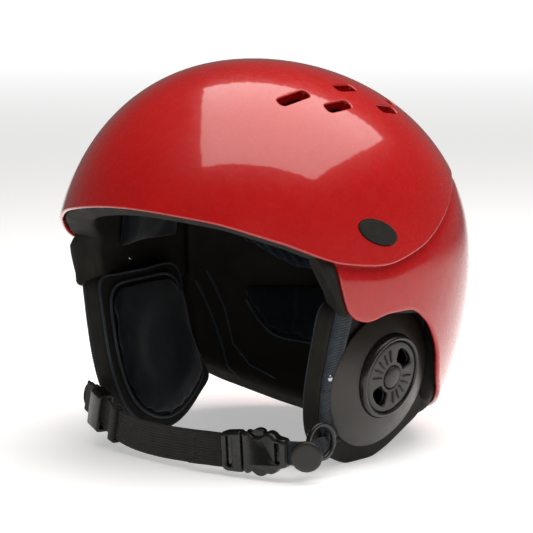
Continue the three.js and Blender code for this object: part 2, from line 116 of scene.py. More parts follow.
def node(mat, kind, inputs, output=0, **settings):
    """Adds a node, with a value or another node's output on each named input; gives its output."""
    made = mat.node_tree.nodes.new("ShaderNode" + kind)
    for key, value in settings.items():
        setattr(made, key, value)
    for socket, value in inputs.items():
        if isinstance(value, bpy.types.NodeSocket):
            mat.node_tree.links.new(value, made.inputs[socket])
        else:
            made.inputs[socket].default_value = value
    return made.outputs[output]


def where(mat):
    """The surface's place in the helmet's own frame, in metres."""
    return node(mat, "TexCoord", {}, "Object")


def wire(mat, **sockets):
    shader = mat.node_tree.nodes["Principled BSDF"]
    for socket, output in sockets.items():
        mat.node_tree.links.new(output, shader.inputs[socket.replace("_", " ")])


def noise(mat, scale, detail=3, rough=0.5, vector=None):
    vector = vector or where(mat)
    return node(mat, "TexNoise", {"Vector": vector, "Scale": scale, "Detail": detail, "Roughness": rough}, "Fac")


def between(mat, share, low, high, start=0.3, end=0.7):
    """A colour that runs from low to high as share goes from start to end."""
    made = mat.node_tree.nodes.new("ShaderNodeValToRGB")
    mat.node_tree.links.new(share, made.inputs["Fac"])
    for element, position, colour in zip(made.color_ramp.elements, (start, end), (low, high)):
        element.position, element.color = position, (*colour, 1)
    return made.outputs["Color"]


def ranged(mat, share, low, high):
    return node(mat, "MapRange", {"Value": share, "From Min": 0.3, "From Max": 0.7, "To Min": low, "To Max": high})


def bump(mat, height, strength, depth, normal=None):
    inputs = {"Height": height, "Strength": strength, "Distance": depth}
    if normal:
        inputs["Normal"] = normal
    return node(mat, "Bump", inputs, "Normal")


floor_white = material("floor_white", 0.9)
wire(floor_white, Base_Color=between(floor_white, noise(floor_white, 3), (0.84, 0.84, 0.84), (0.86, 0.86, 0.86)))
ahead = Vector((-math.sin(math.radians(37)), math.cos(math.radians(37)), 0))  # the way that the camera faces


def along(mat, direction):
    return node(mat, "VectorMath", {0: where(mat), 1: direction}, "Value", operation="DOT_PRODUCT")


def arithmetic(mat, operation, a, b=0.0):
    return node(mat, "Math", {0: a, 1: b}, operation=operation)


# Painted light: the floor glows by its own emission, dim near the helmet and white far behind it, and is painted dark
# to either side of the view so that little of its glow shows in the shell's gloss.
behind = arithmetic(floor_white, "MAXIMUM", arithmetic(floor_white, "ADD", along(floor_white, ahead), 1.3), 0.01)
aside = arithmetic(floor_white, "ABSOLUTE", along(floor_white, Vector((ahead.y, -ahead.x, 0))))
spread = arithmetic(floor_white, "DIVIDE", aside, behind)
glow = between(floor_white, arithmetic(floor_white, "DIVIDE", behind, 8.0), (0.42,) * 3, (1,) * 3, 0.2, 0.75)
dark = between(floor_white, spread, (1, 1, 1), (0.06, 0.06, 0.06), 0.15, 0.35)
glow = node(floor_white, "VectorMath", {0: glow, 1: dark}, "Vector", operation="MULTIPLY")
floor_shader = floor_white.node_tree.nodes["Principled BSDF"]
floor_white.node_tree.links.new(glow, floor_shader.inputs["Emission Color"])
floor_shader.inputs["Emission Strength"].default_value = 1
FLOOR_REACH = 24
corners = [(x * FLOOR_REACH, y * FLOOR_REACH, 0) for x, y in ((-1, -1), (1, -1), (1, 1), (-1, 1))]
floor_mesh = bpy.data.meshes.new("floor")
floor_mesh.from_pydata(corners, [], [(0, 1, 2, 3)])
floor_mesh.materials.append(floor_white)
floor = bpy.data.objects.new("floor", floor_mesh)
bpy.context.collection.objects.link(floor)


# ==== Main shell ====
# The helmet's body, one gloss red ABS moulding 3 mm thick. It shows below the cover: down each
# temple, arched over the ear cup, to a point behind it and round the back, with a round lip.
COVER_WALL, SKIN_GAP, SHELL_WALL = 2.4, 0.9, 3
HALF_WIDTH, HALF_LENGTH, REACH = (100, 121), (123.5, 142.7), (158.9, 119.2)  # front and rear, down and up
FULLNESS = 2.06
SWELL = 2  # the shell stands out by this once it is clear of the cover


def mix(a, b, t):
    return a + (b - a) * t


def smooth(t):
    t = np.clip(t, 0, 1)
    return t * t * (3 - 2 * t)


def skin_reach(d):
    """How far the outside of the helmet lies from its middle, in each direction d."""
    rear, high = 0.5 + 0.5 * np.tanh(d[..., 1] / 0.5), 0.5 + 0.5 * np.tanh(d[..., 2] / 0.35)
    sizes = np.stack([mix(*HALF_WIDTH, rear), mix(*HALF_LENGTH, rear), mix(*REACH, high)], -1)
    return np.sum(np.abs(d / sizes) ** FULLNESS, -1) ** (-1 / FULLNESS)


def on_skin(bearing, tilt, inset):
    """Points inset under the skin. Bearing goes round from the front to +X, tilt down from the crown."""
    bearing, tilt, inset = np.broadcast_arrays(np.radians(bearing), np.radians(tilt), inset)
    d = np.stack([np.sin(tilt) * np.sin(bearing), -np.sin(tilt) * np.cos(bearing), np.cos(tilt)], -1)
    return d * (skin_reach(d) - inset)[..., None]


def bearing_tilt(points):
    return (np.degrees(np.arctan2(points[..., 0], -points[..., 1])),
            np.degrees(np.arccos(points[..., 2] / np.linalg.norm(points, axis=-1))))


def above_skin(points):
    far = np.linalg.norm(points, axis=-1)
    return far - skin_reach(points / far[..., None])


def skin_normals(points):
    steps = [above_skin(points + 0.05 * axis) - above_skin(points - 0.05 * axis) for axis in np.eye(3)]
    slope = np.stack(steps, -1)
    return slope / np.linalg.norm(slope, axis=-1, keepdims=True)


def edge_curve(points):
    """Tilt as a smooth curve of bearing through points, the same on both sides."""
    x, y = np.array(points, float).T
    secant = np.diff(y) / np.diff(x)
    slope = np.zeros(len(x))
    same = secant[:-1] * secant[1:] > 0
    slope[1:-1][same] = 2 * (secant[:-1] * secant[1:])[same] / (secant[:-1] + secant[1:])[same]

    def tilt(bearing):
        b = np.clip(np.abs((np.asarray(bearing, float) + 180) % 360 - 180), 0, 180)
        i = np.clip(np.searchsorted(x, b) - 1, 0, len(x) - 2)
        w, t = np.diff(x)[i], (b - x[i]) / np.diff(x)[i]
        rise = slope[i] * (t**3 - 2 * t**2 + t) + slope[i + 1] * (t**3 - t**2)
        return mix(y[i], y[i + 1], 3 * t**2 - 2 * t**3) + w * rise
    return tilt


def build(name, points, faces, sharp=35):
    """A closed mesh object from points in millimetres, smooth but for its edges above a sharp angle."""
    mesh = bpy.data.meshes.new(name)
    mesh.from_pydata((np.reshape(points, (-1, 3)) * MM + np.array(head)).tolist(), [], faces)
    bm = bmesh.new()
    bm.from_mesh(mesh)
    bmesh.ops.remove_doubles(bm, verts=bm.verts, dist=0.002 * MM)
    bmesh.ops.recalc_face_normals(bm, faces=bm.faces)
    for face in bm.faces:
        face.smooth = True
    for edge in bm.edges:
        edge.smooth = edge.calc_face_angle(0) < math.radians(sharp)
    bm.to_mesh(mesh)
    bm.free()
    made = bpy.data.objects.new(name, mesh)
    bpy.context.collection.objects.link(made)
    return made


def loft_faces(count, across, loop=False, start=0):
    faces = []
    for i in range(count if loop else count - 1):
        j = (i + 1) % count
        for k in range(across):
            m = (k + 1) % across
            faces.append(tuple(start + n for n in (i * across + k, i * across + m, j * across + m, j * across + k)))
    if not loop:
        faces += [tuple(start + k for k in range(across)),
                  tuple(start + (count - 1) * across + k for k in range(across))]
    return faces


def loft(name, rows, loop=False, sharp=35):
    """A closed skin through rings of points, capped at both ends unless the rings close into a loop."""
    rows = np.asarray(rows, float)
    return build(name, rows, loft_faces(*rows.shape[:2], loop), sharp)


def fit(obj, mat, body, slot, *nodes):
    """Gives a piece its material and hangs it on its body, in place of the plain solids it stands for."""
    obj.data.materials.clear()
    obj.data.materials.append(mat)
    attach(obj, body)
    if nodes:
        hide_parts(*nodes)
    return obj


cover_edge = edge_curve([(0, 69.3), (24, 71.2), (45, 76.2), (66, 83), (80, 84.4), (94, 81.3), (110, 73.6),
                         (126, 66.7), (150, 63), (180, 62.5)])
shell_edge = edge_curve([(0, 67), (30, 69.7), (50, 75.5), (60, 79.5), (63, 82), (65, 90), (67.5, 97), (71, 100),
                         (75, 101), (84, 99), (92, 98.6), (99, 102), (106, 109), (114, 119.4), (120, 123),
                         (126, 126), (150, 130.2), (180, 131)])


def shell_dome(edge, outer, wall, columns, rows, stand_out=lambda bearing, tilt: 0):
    """Rings from the crown down the outside, round a half-circle lip and up the inside."""
    fine = np.linspace(-180, 180, 4001)
    rim = on_skin(fine, edge(fine), 0)
    run = np.r_[0, np.cumsum(np.linalg.norm(np.diff(rim, axis=0), axis=1))]
    bearing = np.interp(np.linspace(0, run[-1], columns + 1)[:-1], run, fine)
    middle = on_skin(bearing, edge(bearing), outer + wall / 2 - stand_out(bearing, edge(bearing)))
    normal = skin_normals(middle)
    along = np.roll(middle, -1, 0) - np.roll(middle, 1, 0)
    inward = np.cross(along, normal)
    inward *= np.sign(inward[:, 2:]) / np.linalg.norm(inward, axis=1, keepdims=True)
    core = middle + inward * wall / 2
    lip = [core + (normal * math.cos(a) - inward * math.sin(a)) * wall / 2 for a in np.linspace(0, math.pi, 9)]

    def rows_to(end, inset, share):
        end_bearing, end_tilt = bearing_tilt(end)
        turn = (end_bearing - bearing + 180) % 360 - 180
        for t in share:
            b, tilt = bearing + turn * t**4, end_tilt * t
            yield on_skin(b, tilt, inset - stand_out(b, tilt))
    return [*rows_to(lip[0], outer, rows[:-1]), *lip, *rows_to(lip[-1], outer + wall, rows[-2::-3])]


def swelling(bearing, tilt):
    return SWELL * smooth((tilt - cover_edge(bearing) + 1) / 5)


def gloss_abs(name, deep, bright):
    """Injection moulded ABS with a clear high gloss: even red, faint flow marks, fine orange peel."""
    mat = material(name, 0.25, coat_weight=1, coat_roughness=0.025, coat_ior=1.5, specular_ior_level=0.3)
    flow = noise(mat, 11, 4)
    scuffs = noise(mat, 160, 8, 0.65)
    wire(mat, Base_Color=between(mat, flow, deep, bright), Roughness=ranged(mat, scuffs, 0.2, 0.34))
    peel = bump(mat, noise(mat, 260, 2), 0.05, 0.0006)
    wire(mat, Normal=peel, Coat_Normal=peel)
    return mat


shell_red = gloss_abs("shell_red", (0.4, 0.003, 0.005), (0.46, 0.005, 0.006))
SHELL_OUTER = COVER_WALL + SKIN_GAP
DOME_ROWS = np.r_[np.linspace(0, 0.5, 24), np.linspace(0.5, 1, 60)[1:]]
main_shell = loft("main_shell", shell_dome(shell_edge, SHELL_OUTER, SHELL_WALL, 400, DOME_ROWS, swelling))


# ==== Crown cover ====
# A second gloss red ABS skin, 2.4 mm thick, over the crown and brow. Ten vent slots with eased
# mouths go through it, the shell and the liner, and an oval socket over each temple takes a plug.
VENTS = ((53, -42, -19), (67, -18, 2), (56, 5, 23), (71, 25, 44), (61, 46, 58))  # across, front, rear
VENT_WIDTH, VENT_CORNER, MOUTH = 6.6, 2.7, 0.9
PLUG = {"x": 103, "y": -20.5, "length": 27, "width": 12.6, "slope": -23}


def skin_frame(x, y):
    """The skin's point over x, y, with its sideways and forward directions and its normal."""
    tilts = np.linspace(1, 89, 8800)
    bearing = math.degrees(math.atan2(x, -y))
    line = on_skin(bearing, tilts, 0)
    point = line[np.argmax(np.hypot(line[:, 0], line[:, 1]) >= math.hypot(x, y))]
    normal = skin_normals(point[None])[0]
    side = np.cross((0, 1, 0), normal)
    side /= np.linalg.norm(side)
    return point, side, np.cross(normal, side), normal


def settle(points, normal, inset):
    """Slides points along a normal until they lie inset under the skin."""
    for _ in range(5):
        points = points - normal * (above_skin(points) + inset)[:, None]
    return points


def stadium(length, width, corner, count=12):
    """A rectangle's outline with round corners, and its outward directions."""
    turn = np.concatenate([np.linspace(a, a + 90, count) for a in (0, 90, 180, 270)])
    out = np.stack([np.cos(np.radians(turn)), np.sin(np.radians(turn))], 1)
    quarter = np.repeat([(1, 1), (-1, 1), (-1, -1), (1, -1)], count, 0)
    return quarter * (width / 2 - corner, length / 2 - corner) + out * corner, out


def mouth_rings(place, outline, out, ease, depth):
    """A cutter for a hole through the skin: flared above it, eased at its mouth, straight below."""
    point, side, forward, normal = place
    a = np.linspace(0, math.pi / 2, 6)
    grow = [ease + 0.3, *(ease * (1 - np.sin(a))), 0]
    inset = [-2, *(ease * (1 - np.cos(a)) + 0.02), depth]
    for g, i in zip(grow, inset):
        flat = outline + out * g
        yield settle(point + flat[:, :1] * side + flat[:, 1:] * forward, normal, i)


def cutter(name, holes):
    points, faces = [], []
    for rings in holes:
        rings = np.array(list(rings))
        faces += loft_faces(*rings.shape[:2], start=sum(len(p) for p in points))
        points.append(rings.reshape(-1, 3))
    return build(name, np.concatenate(points), faces)


def cut(obj, tool, keep_tool=True):
    """Cuts tool's holes through obj and applies the result."""
    modifier = obj.modifiers.new("cut", "BOOLEAN")
    modifier.operation, modifier.object, modifier.solver = "DIFFERENCE", tool, "EXACT"
    apply_modifiers(obj)
    if not keep_tool:
        bpy.data.objects.remove(tool)


def apply_modifiers(obj):
    graph = bpy.context.evaluated_depsgraph_get()
    mesh = bpy.data.meshes.new_from_object(obj.evaluated_get(graph))
    obj.modifiers.clear()
    obj.data = mesh


def mirror_x(rings):
    for ring in rings:
        yield ring * (-1, 1, 1)


def both_sides(make):
    return [make(), mirror_x(make())]


def vent_holes(depth, grow=0.0):
    for x, front, rear in VENTS:
        outline, out = stadium(rear - front, VENT_WIDTH, VENT_CORNER)
        place = skin_frame(x, (front + rear) / 2)
        yield from both_sides(lambda: mouth_rings(place, outline + out * grow, out, MOUTH, depth))


def collar_rings(place, outline, out):
    """The lining of a vent: a thin wall from the cover's mouth down through the shell."""
    point, side, forward, normal = place
    for grow, inset in ((0.03, 1.2), (1.1, 1.4), (1.1, SHELL_OUTER + SHELL_WALL), (0.3, SHELL_OUTER + SHELL_WALL + 0.5),
                        (0.03, SHELL_OUTER + SHELL_WALL + 0.2)):
        flat = outline + out * grow
        yield settle(point + flat[:, :1] * side + flat[:, 1:] * forward, normal, inset)


def oval(length, width, count=64):
    turn = np.linspace(0, 2 * math.pi, count, endpoint=False)
    ring = np.stack([np.cos(turn), np.sin(turn)], 1)
    out = ring / (width / 2, length / 2)
    return ring * (width / 2, length / 2), out / np.linalg.norm(out, axis=1, keepdims=True)


def plug_frame():
    point, side, forward, normal = skin_frame(PLUG["x"], PLUG["y"])
    c, s = math.cos(math.radians(PLUG["slope"])), math.sin(math.radians(PLUG["slope"]))
    return point, c * side + s * forward, c * forward - s * side, normal


def true_normals(obj, inset):
    """Shades the cut skin with the form's own normals, so that the slots leave no ripple in the gloss."""
    mesh = obj.data
    points = (np.array([v.co for v in mesh.vertices]) - np.array(head)) / MM
    on_it = np.abs(above_skin(points) + inset) < 0.04
    form = skin_normals(points)
    loops = np.array([n.vector for n in mesh.corner_normals])
    corner = np.array([loop.vertex_index for loop in mesh.loops])
    face = np.repeat([p.normal[:] for p in mesh.polygons], [p.loop_total for p in mesh.polygons], axis=0)
    use = on_it[corner] & (np.sum(face * form[corner], 1) > 0.97)
    loops[use] = form[corner][use]
    mesh.normals_split_custom_set(loops.tolist())


cover_red = gloss_abs("cover_red", (0.43, 0.004, 0.005), (0.5, 0.007, 0.006))
VENT_DEPTH = 8
vent_tool = cutter("vent_tool", vent_holes(VENT_DEPTH))
crown_cover = loft("crown_cover", shell_dome(cover_edge, 0, COVER_WALL, 300, np.linspace(0, 1, 72)))
cut(crown_cover, vent_tool)
bpy.data.objects.remove(vent_tool)
cut(main_shell, cutter("shell_vent_tool", vent_holes(VENT_DEPTH, 1.3)), keep_tool=False)
collars = []
for x, front, rear in VENTS:
    place = skin_frame(x, (front + rear) / 2)
    outline, out = stadium(rear - front, VENT_WIDTH, VENT_CORNER)
    collars += [np.swapaxes(list(rings), 0, 1) for rings in both_sides(lambda: collar_rings(place, outline, out))]
for number, rings in enumerate(collars, 1):
    fit(loft(f"vent_collar_{number}", rings, loop=True), cover_red, "helmet", "red_cover")
plug_outline, plug_out = oval(PLUG["length"] + 0.6, PLUG["width"] + 0.6)
cut(crown_cover, cutter("plug_tool", both_sides(lambda: mouth_rings(plug_frame(), plug_outline, plug_out, 0.5, 2.9))),
    keep_tool=False)
true_normals(crown_cover, 0)
fit(main_shell, shell_red, "helmet", "red_shell", "main_shell")
fit(crown_cover, cover_red, "helmet", "red_cover", "crown_cover")


# ==== Side plugs ====
# An oval black plug in the cover over each temple, where an accessory clips on. It is moulded
# nylon with a coarse spark-eroded face, a little dished inside its rim, and pressed into place.
def grained_nylon(name):
    mat = material(name, 0.6, specular_ior_level=0.25)
    grain = node(mat, "TexVoronoi", {"Vector": where(mat), "Scale": 1700.0, "Randomness": 1.0}, "Distance")
    wire(mat, Base_Color=between(mat, noise(mat, 900, 4), (0.006, 0.0055, 0.004), (0.016, 0.0145, 0.011)),
         Roughness=ranged(mat, noise(mat, 300), 0.42, 0.6), Normal=bump(mat, grain, 0.9, 0.0005))
    return mat


plug_nylon = grained_nylon("plug_nylon")


def plug_rings():
    point, side, forward, normal = plug_frame()
    profile = [(0, -0.3), (0.3, -0.32), (0.6, -0.4), (0.78, -0.6), (0.86, -0.68), (0.93, -0.66), (0.975, -0.45),
               (1, -0.1), (1, 2.7)]
    outline, _ = oval(PLUG["length"], PLUG["width"])
    for share, inset in profile:
        flat = outline * share
        yield settle(point + flat[:, :1] * side + flat[:, 1:] * forward, normal, inset)


for side_name, rings in zip(("left", "right"), both_sides(plug_rings)):
    plug = loft(f"side_plug_{side_name}", list(rings), sharp=50)
    fit(plug, plug_nylon, "helmet", "black_satin", f"side_plug_{side_name}")


# ==== Foam liner ====
# Closed cell EVA foam, 14 mm thick with eased edges, glued inside the shell: a crown piece, a brow
# piece, a temple piece each side and a rear piece that runs down to the nape.
LINER_OUTER, LINER_WALL = 8.3, 14
LINER_INNER = LINER_OUTER + LINER_WALL
LINER_TOP, REST_LEVEL = 46, -105  # tilt of its joint with the crown piece; the plane it is trimmed to
DEGREE = 1.83  # millimetres in a degree, about the liner's middle


def in_layer(bearing, tilt, inset):
    """A point of a layer of the helmet, which stands out a little below the cover."""
    return on_skin(bearing, tilt, inset - swelling(bearing, tilt))


def layer_inset(points):
    return -above_skin(points) + swelling(*bearing_tilt(points))


def rounded_ring(width, height, radius, along_width=3, along_height=18):
    """A rectangle's outline with round corners, from 0 to width and 0 to height."""
    turn = np.radians(np.linspace(0, 90, 6))
    ring = []
    for i, (x, y) in enumerate(((1, 1), (0, 1), (0, 0), (1, 0))):
        middle = np.array([x * width + (radius if x == 0 else -radius), y * height + (radius if y == 0 else -radius)])
        arc = middle + radius * np.stack([np.cos(turn + i * math.pi / 2), np.sin(turn + i * math.pi / 2)], 1)
        ring.append(arc)
    sides = []
    for i, arc in enumerate(ring):
        following = ring[(i + 1) % 4][0]
        count = along_height if i % 2 else along_width
        share = np.linspace(0, 1, count + 2)[1:-1, None]
        sides += [arc, mix(arc[-1], following, share)]
    return np.concatenate(sides)


def block_rings(start, end, top, bottom, outer, inner, radius, columns=40):
    """A block of a layer with all its edges rounded, between two bearings and two tilts."""
    ease = radius / DEGREE
    turn = np.linspace(0, math.pi / 2, 5)
    ends = [(ease * (1 - math.sin(a)), radius * (1 - math.cos(a))) for a in turn[::-1]]
    places = [(start + b, s) for b, s in ends]
    places += [(b, 0) for b in np.linspace(start + ease, end - ease, columns)[1:-1]]
    places += [(end - b, s) for b, s in reversed(ends)]
    for bearing, shrink in places:
        low, high = bottom(bearing), top(bearing) if callable(top) else top
        ring = rounded_ring(inner - outer - 2 * shrink, (low - high) * DEGREE - 2 * shrink, max(radius - shrink, 0.4))
        yield in_layer(bearing, high + (ring[:, 1] + shrink) / DEGREE, outer + shrink + ring[:, 0])


def eva_foam(name):
    """Fine closed cell foam, its moulded skin grey-brown, a little rubbed and dusty in random patches."""
    mat = material(name, 0.8, specular_ior_level=0.25)
    cells = node(mat, "TexVoronoi", {"Vector": where(mat), "Scale": 2300.0}, "Distance")
    patches = noise(mat, 24, 6, 0.6)
    wire(mat, Base_Color=between(mat, patches, (0.0085, 0.0076, 0.006), (0.018, 0.016, 0.012)),
         Roughness=ranged(mat, noise(mat, 90), 0.68, 0.88),
         Normal=bump(mat, cells, 0.35, 0.0003, bump(mat, noise(mat, 70, 4), 0.25, 0.0008)))
    return mat


liner_foam = eva_foam("liner_foam")


def trim(rings):
    """Cuts a piece flat where the helmet rests."""
    for ring in rings:
        ring = np.array(ring)
        ring[:, 2] = np.maximum(ring[:, 2], REST_LEVEL)
        yield ring


def brow_bottom(bearing):
    return float(cover_edge(bearing)) - 0.2


nape_edge = edge_curve([(0, 127.6), (120, 127.6), (134, 131), (158, 136), (180, 138.5)])
CROWN_BEARINGS = np.linspace(-180, 180, 97)[:-1]
crown_profile = [*((t, LINER_OUTER) for t in np.linspace(0, LINER_TOP - 1, 24)),
                 (LINER_TOP - 0.3, LINER_OUTER + 0.7), (LINER_TOP - 0.1, LINER_OUTER + 2),
                 (LINER_TOP - 0.1, LINER_INNER - 3), (LINER_TOP - 0.8, LINER_INNER - 0.8),
                 *((t, LINER_INNER) for t in np.linspace(LINER_TOP - 2.2, 0, 24))]
liner_crown = loft("liner_crown", [in_layer(CROWN_BEARINGS, t, inset) for t, inset in crown_profile])
cut(liner_crown, cutter("liner_vent_tool", vent_holes(LINER_INNER + 8)), keep_tool=False)
fit(liner_crown, liner_foam, "helmet", "eva_foam", "liner_crown")
SIDE_TOP, TEMPLE_FRONT, REAR_SEAM = LINER_TOP + 0.5, 57.4, 120.5
liner_brow = loft("liner_brow", list(block_rings(-TEMPLE_FRONT - 1.4, TEMPLE_FRONT + 1.4, SIDE_TOP, brow_bottom, 2.7,
                                                 LINER_INNER - 1.5, 3.2, 70)))
fit(liner_brow, liner_foam, "helmet", "eva_foam", "liner_brow")
liner_rear = loft("liner_rear", list(trim(block_rings(REAR_SEAM + 0.2, 359.8 - REAR_SEAM, SIDE_TOP, nape_edge,
                                                      LINER_OUTER - 1.6, LINER_INNER, 3.5, 60))))
fit(liner_rear, liner_foam, "helmet", "eva_foam", "liner_rear")


def temple_bottom(bearing):
    return 98.6 + 0.05 * abs(bearing - 62)


SHELL_FRONT = ((75.5, 79.5, 82, 90, 97, 100), (50, 60, 63, 65, 67.5, 71))  # its tilt and bearing


def temple_rings():
    """The block's front leans back beside the shell's front edge, and stands out ahead of it to cover it."""
    for ring in block_rings(TEMPLE_FRONT, REAR_SEAM - 0.2, SIDE_TOP + 3, temple_bottom, LINER_OUTER - 3.2,
                            LINER_INNER - 1.4, 4.2, 44):
        inset, (bearing, tilt) = layer_inset(ring), bearing_tilt(ring)
        bearing = bearing + 7 * smooth((tilt - 79) / 19) * smooth((78 - bearing) / 20)
        ahead_of_shell = smooth((np.interp(tilt, *SHELL_FRONT) - 0.3 - bearing) / 1.5) * smooth((tilt - 80) / 4)
        yield in_layer(bearing, tilt, inset - 2.8 * ahead_of_shell * smooth((15 - inset) / 8))


for side_name, rings in zip(("left", "right"), both_sides(temple_rings)):
    temple = loft(f"liner_temple_{side_name}", list(rings))
    fit(temple, liner_foam, "helmet", "eva_foam", f"liner_temple_{side_name}")


# ==== Pads inside the liner ====
# Soft foam pads sewn into brushed blue-black stretch cloth and stuck to the liner with hook and
# loop: crown and brow pads, a gathered rear pad, a nape pad with two seams, and two side pads.
PAD_OUTER = LINER_INNER + 0.3
PAD_WALL = 6
CLOTH_VOXEL, CLOTH_PUFF = 4 * MM, 1.8 * MM


def pad_cloth(name, deep, bright, scale=1.0):
    """Brushed stretch jersey: fine knit rows, a soft nap, faint wear and dust."""
    mat = material(name, 0.92, specular_ior_level=0.15, sheen_weight=0.2, sheen_roughness=0.5)
    rows = node(mat, "TexWave", {"Vector": where(mat), "Scale": 330.0 * scale, "Distortion": 1.2, "Detail": 2.0,
                                 "Detail Scale": 2.0}, "Fac", bands_direction="Z")
    nap = noise(mat, 700, 4, 0.7)
    wire(mat, Base_Color=between(mat, noise(mat, 30, 6, 0.65), deep, bright, 0.35, 0.75),
         Roughness=ranged(mat, nap, 0.82, 0.98),
         Normal=bump(mat, rows, 0.3, 0.0004, bump(mat, nap, 0.5, 0.0005)))
    return mat


def inflate(obj, puff=CLOTH_PUFF):
    """Stuffs a pad: remeshes it, swells it as cloth under pressure, and holds back what swells too far."""
    mesh = obj.modifiers.new("voxels", "REMESH")
    mesh.mode, mesh.voxel_size = "VOXEL", CLOTH_VOXEL
    even = obj.modifiers.new("even", "SMOOTH")
    even.factor, even.iterations = 0.5, 3
    apply_modifiers(obj)
    rest = np.array([v.co for v in obj.data.vertices])
    cloth = obj.modifiers.new("cloth", "CLOTH")
    cloth.settings.use_pressure, cloth.settings.uniform_pressure_force = True, 4
    cloth.settings.effector_weights.gravity = 0
    for tick in range(1, 21):
        bpy.context.scene.frame_set(tick)
    apply_modifiers(obj)
    moved = np.array([v.co for v in obj.data.vertices]) - rest
    far = np.linalg.norm(moved, axis=1, keepdims=True)
    settled = rest + moved * np.minimum(1, puff / np.maximum(far, 1e-9))
    obj.data.vertices.foreach_set("co", settled.ravel())
    bpy.context.scene.frame_set(1)
    obj.modifiers.new("smooth", "SUBSURF").levels = 1
    apply_modifiers(obj)
    for polygon in obj.data.polygons:
        polygon.use_smooth = True


def reshape(obj, change):
    """Moves a pad's points, given and taken in millimetres from the helmet's middle."""
    points = (np.array([v.co for v in obj.data.vertices]) - np.array(head)) / MM
    obj.data.vertices.foreach_set("co", (change(points) * MM + np.array(head)).ravel())
    obj.data.update()


def seat_on_liner(points, back=PAD_OUTER):
    """Keeps a swollen pad off the foam behind it."""
    far = np.linalg.norm(points, axis=1, keepdims=True)
    return points * (1 - np.maximum(back - layer_inset(points), 0)[:, None] / far)


def press_seam(points, distance, depth, width=2.4):
    """Sinks a line of stitching into a pad, towards the liner."""
    far = np.linalg.norm(points, axis=1, keepdims=True)
    front = smooth((layer_inset(points) - PAD_OUTER - 1) / 3)
    return points * (1 + (depth * front * np.exp(-(distance / width) ** 2))[:, None] / far)


def piping_rings(path, radius, closed=True, sides=10):
    """Rings round a path of points, for a cord sewn along a pad's edge."""
    path = np.asarray(path, float)
    along = np.roll(path, -1, 0) - np.roll(path, 1, 0)
    if not closed:
        along[0], along[-1] = path[1] - path[0], path[-1] - path[-2]
    along /= np.linalg.norm(along, axis=1, keepdims=True)
    across = np.cross(along, np.mean(path, 0) - path + 1e-6)
    across /= np.linalg.norm(across, axis=1, keepdims=True)
    up = np.cross(across, along)
    for point, a, b in zip(path, across, up):
        yield point + radius * np.array([a * math.cos(t) + b * math.sin(t)
                                         for t in np.linspace(0, 2 * math.pi, sides, endpoint=False)])


def stitched(name, path, radius, mat, closed=True, body="helmet"):
    made = loft(name, list(piping_rings(path, radius, closed)), loop=closed, sharp=80)
    return fit(made, mat, body, "pad_fabric")


pad_knit = pad_cloth("pad_knit", (0.002, 0.0032, 0.005), (0.0065, 0.011, 0.017))
# The rear pad's knit is the same blue-black cloth painted lighter, in the blue-grey of the light on its gathers: a
# painted highlight.
rear_knit_painted_lighter = pad_cloth("rear_knit_painted_lighter", (0.009, 0.015, 0.026), (0.034, 0.052, 0.08))
# The cords are the pads' blue-black cloth painted a lighter blue-grey: a painted highlight for the light along them.
piping_cord_painted_lighter = pad_cloth("piping_cord_painted_lighter", (0.02, 0.03, 0.045), (0.05, 0.07, 0.095), 2.0)


def pad(name, rings, mat, node_name, change=seat_on_liner, extra=0):
    made = loft(name, list(rings))
    inflate(made)
    if extra:
        made.modifiers.new("fine", "SUBSURF").levels = extra
        apply_modifiers(made)
    reshape(made, change)
    fit(made, mat, "helmet", "pad_fabric", node_name)
    return made


def flat_bottom(tilt):
    return lambda bearing: tilt


def gathers(points):
    """Upright crinkles where the rear pad's cloth is gathered onto its elastic."""
    points = seat_on_liner(points)
    bearing, tilt = bearing_tilt(points)
    wander = 2.5 * np.sin(tilt * 0.31 + bearing * 0.11) + 1.4 * np.sin(tilt * 0.7 + 2 + bearing * 0.23)
    fold = np.sin((bearing * 1.0 + wander) * 1.55) + 0.5 * np.sin((bearing * 1.0 - wander) * 2.9 + 1)
    front = smooth((layer_inset(points) - PAD_OUTER - 1) / 3)
    far = np.linalg.norm(points, axis=1, keepdims=True)
    return points * (1 - (0.85 * fold * front)[:, None] / far)


def nape_seams(points):
    points = seat_on_liner(points)
    bearing, tilt = bearing_tilt(points)
    for seam in (-156, 156):
        points = press_seam(points, (bearing - seam) * 1.7, 2.6)
    return points


rear_pad_bottom = edge_curve([(0, 84), (134, 84), (139, 89.5), (145, 93.5), (152, 97.5), (160, 100), (180, 101.5)])
nape_pad_bottom = edge_curve([(0, 106), (139, 106), (142.5, 111), (146.5, 116), (151, 119), (156, 120), (180, 121)])


crown_pad_profile = [*((t, PAD_OUTER) for t in np.linspace(0, 21, 10)), (22.3, PAD_OUTER + 1.2),
                     (22.6, PAD_OUTER + 2.6), (21.4, PAD_OUTER + 4), *((t, PAD_OUTER + 4.4) for t in np.linspace(20, 0, 10))]
pad("crown_pad", [in_layer(CROWN_BEARINGS, t, inset) for t, inset in crown_pad_profile], pad_knit, "crown_pad")
pad("brow_pad", block_rings(-44, 44, 57, lambda b: brow_bottom(b) - 5, PAD_OUTER + 0.3, PAD_OUTER + 5.2, 2.2), pad_knit,
    "brow_pad")
pad("rear_pad", block_rings(136, 224, 56, rear_pad_bottom, PAD_OUTER + 0.3, PAD_OUTER + 5.6, 2.4, 60), rear_knit_painted_lighter,
    "rear_pad", gathers, extra=1)
pad("nape_pad", block_rings(140, 220, 103.4, nape_pad_bottom, PAD_OUTER + 0.3, PAD_OUTER + 5.6, 2.4), pad_knit,
    "nape_pad", nape_seams)
side_blocks = both_sides(lambda: block_rings(75, 115, 55.5, flat_bottom(86.6), PAD_OUTER + 0.3, PAD_OUTER + 5.6, 2.4))
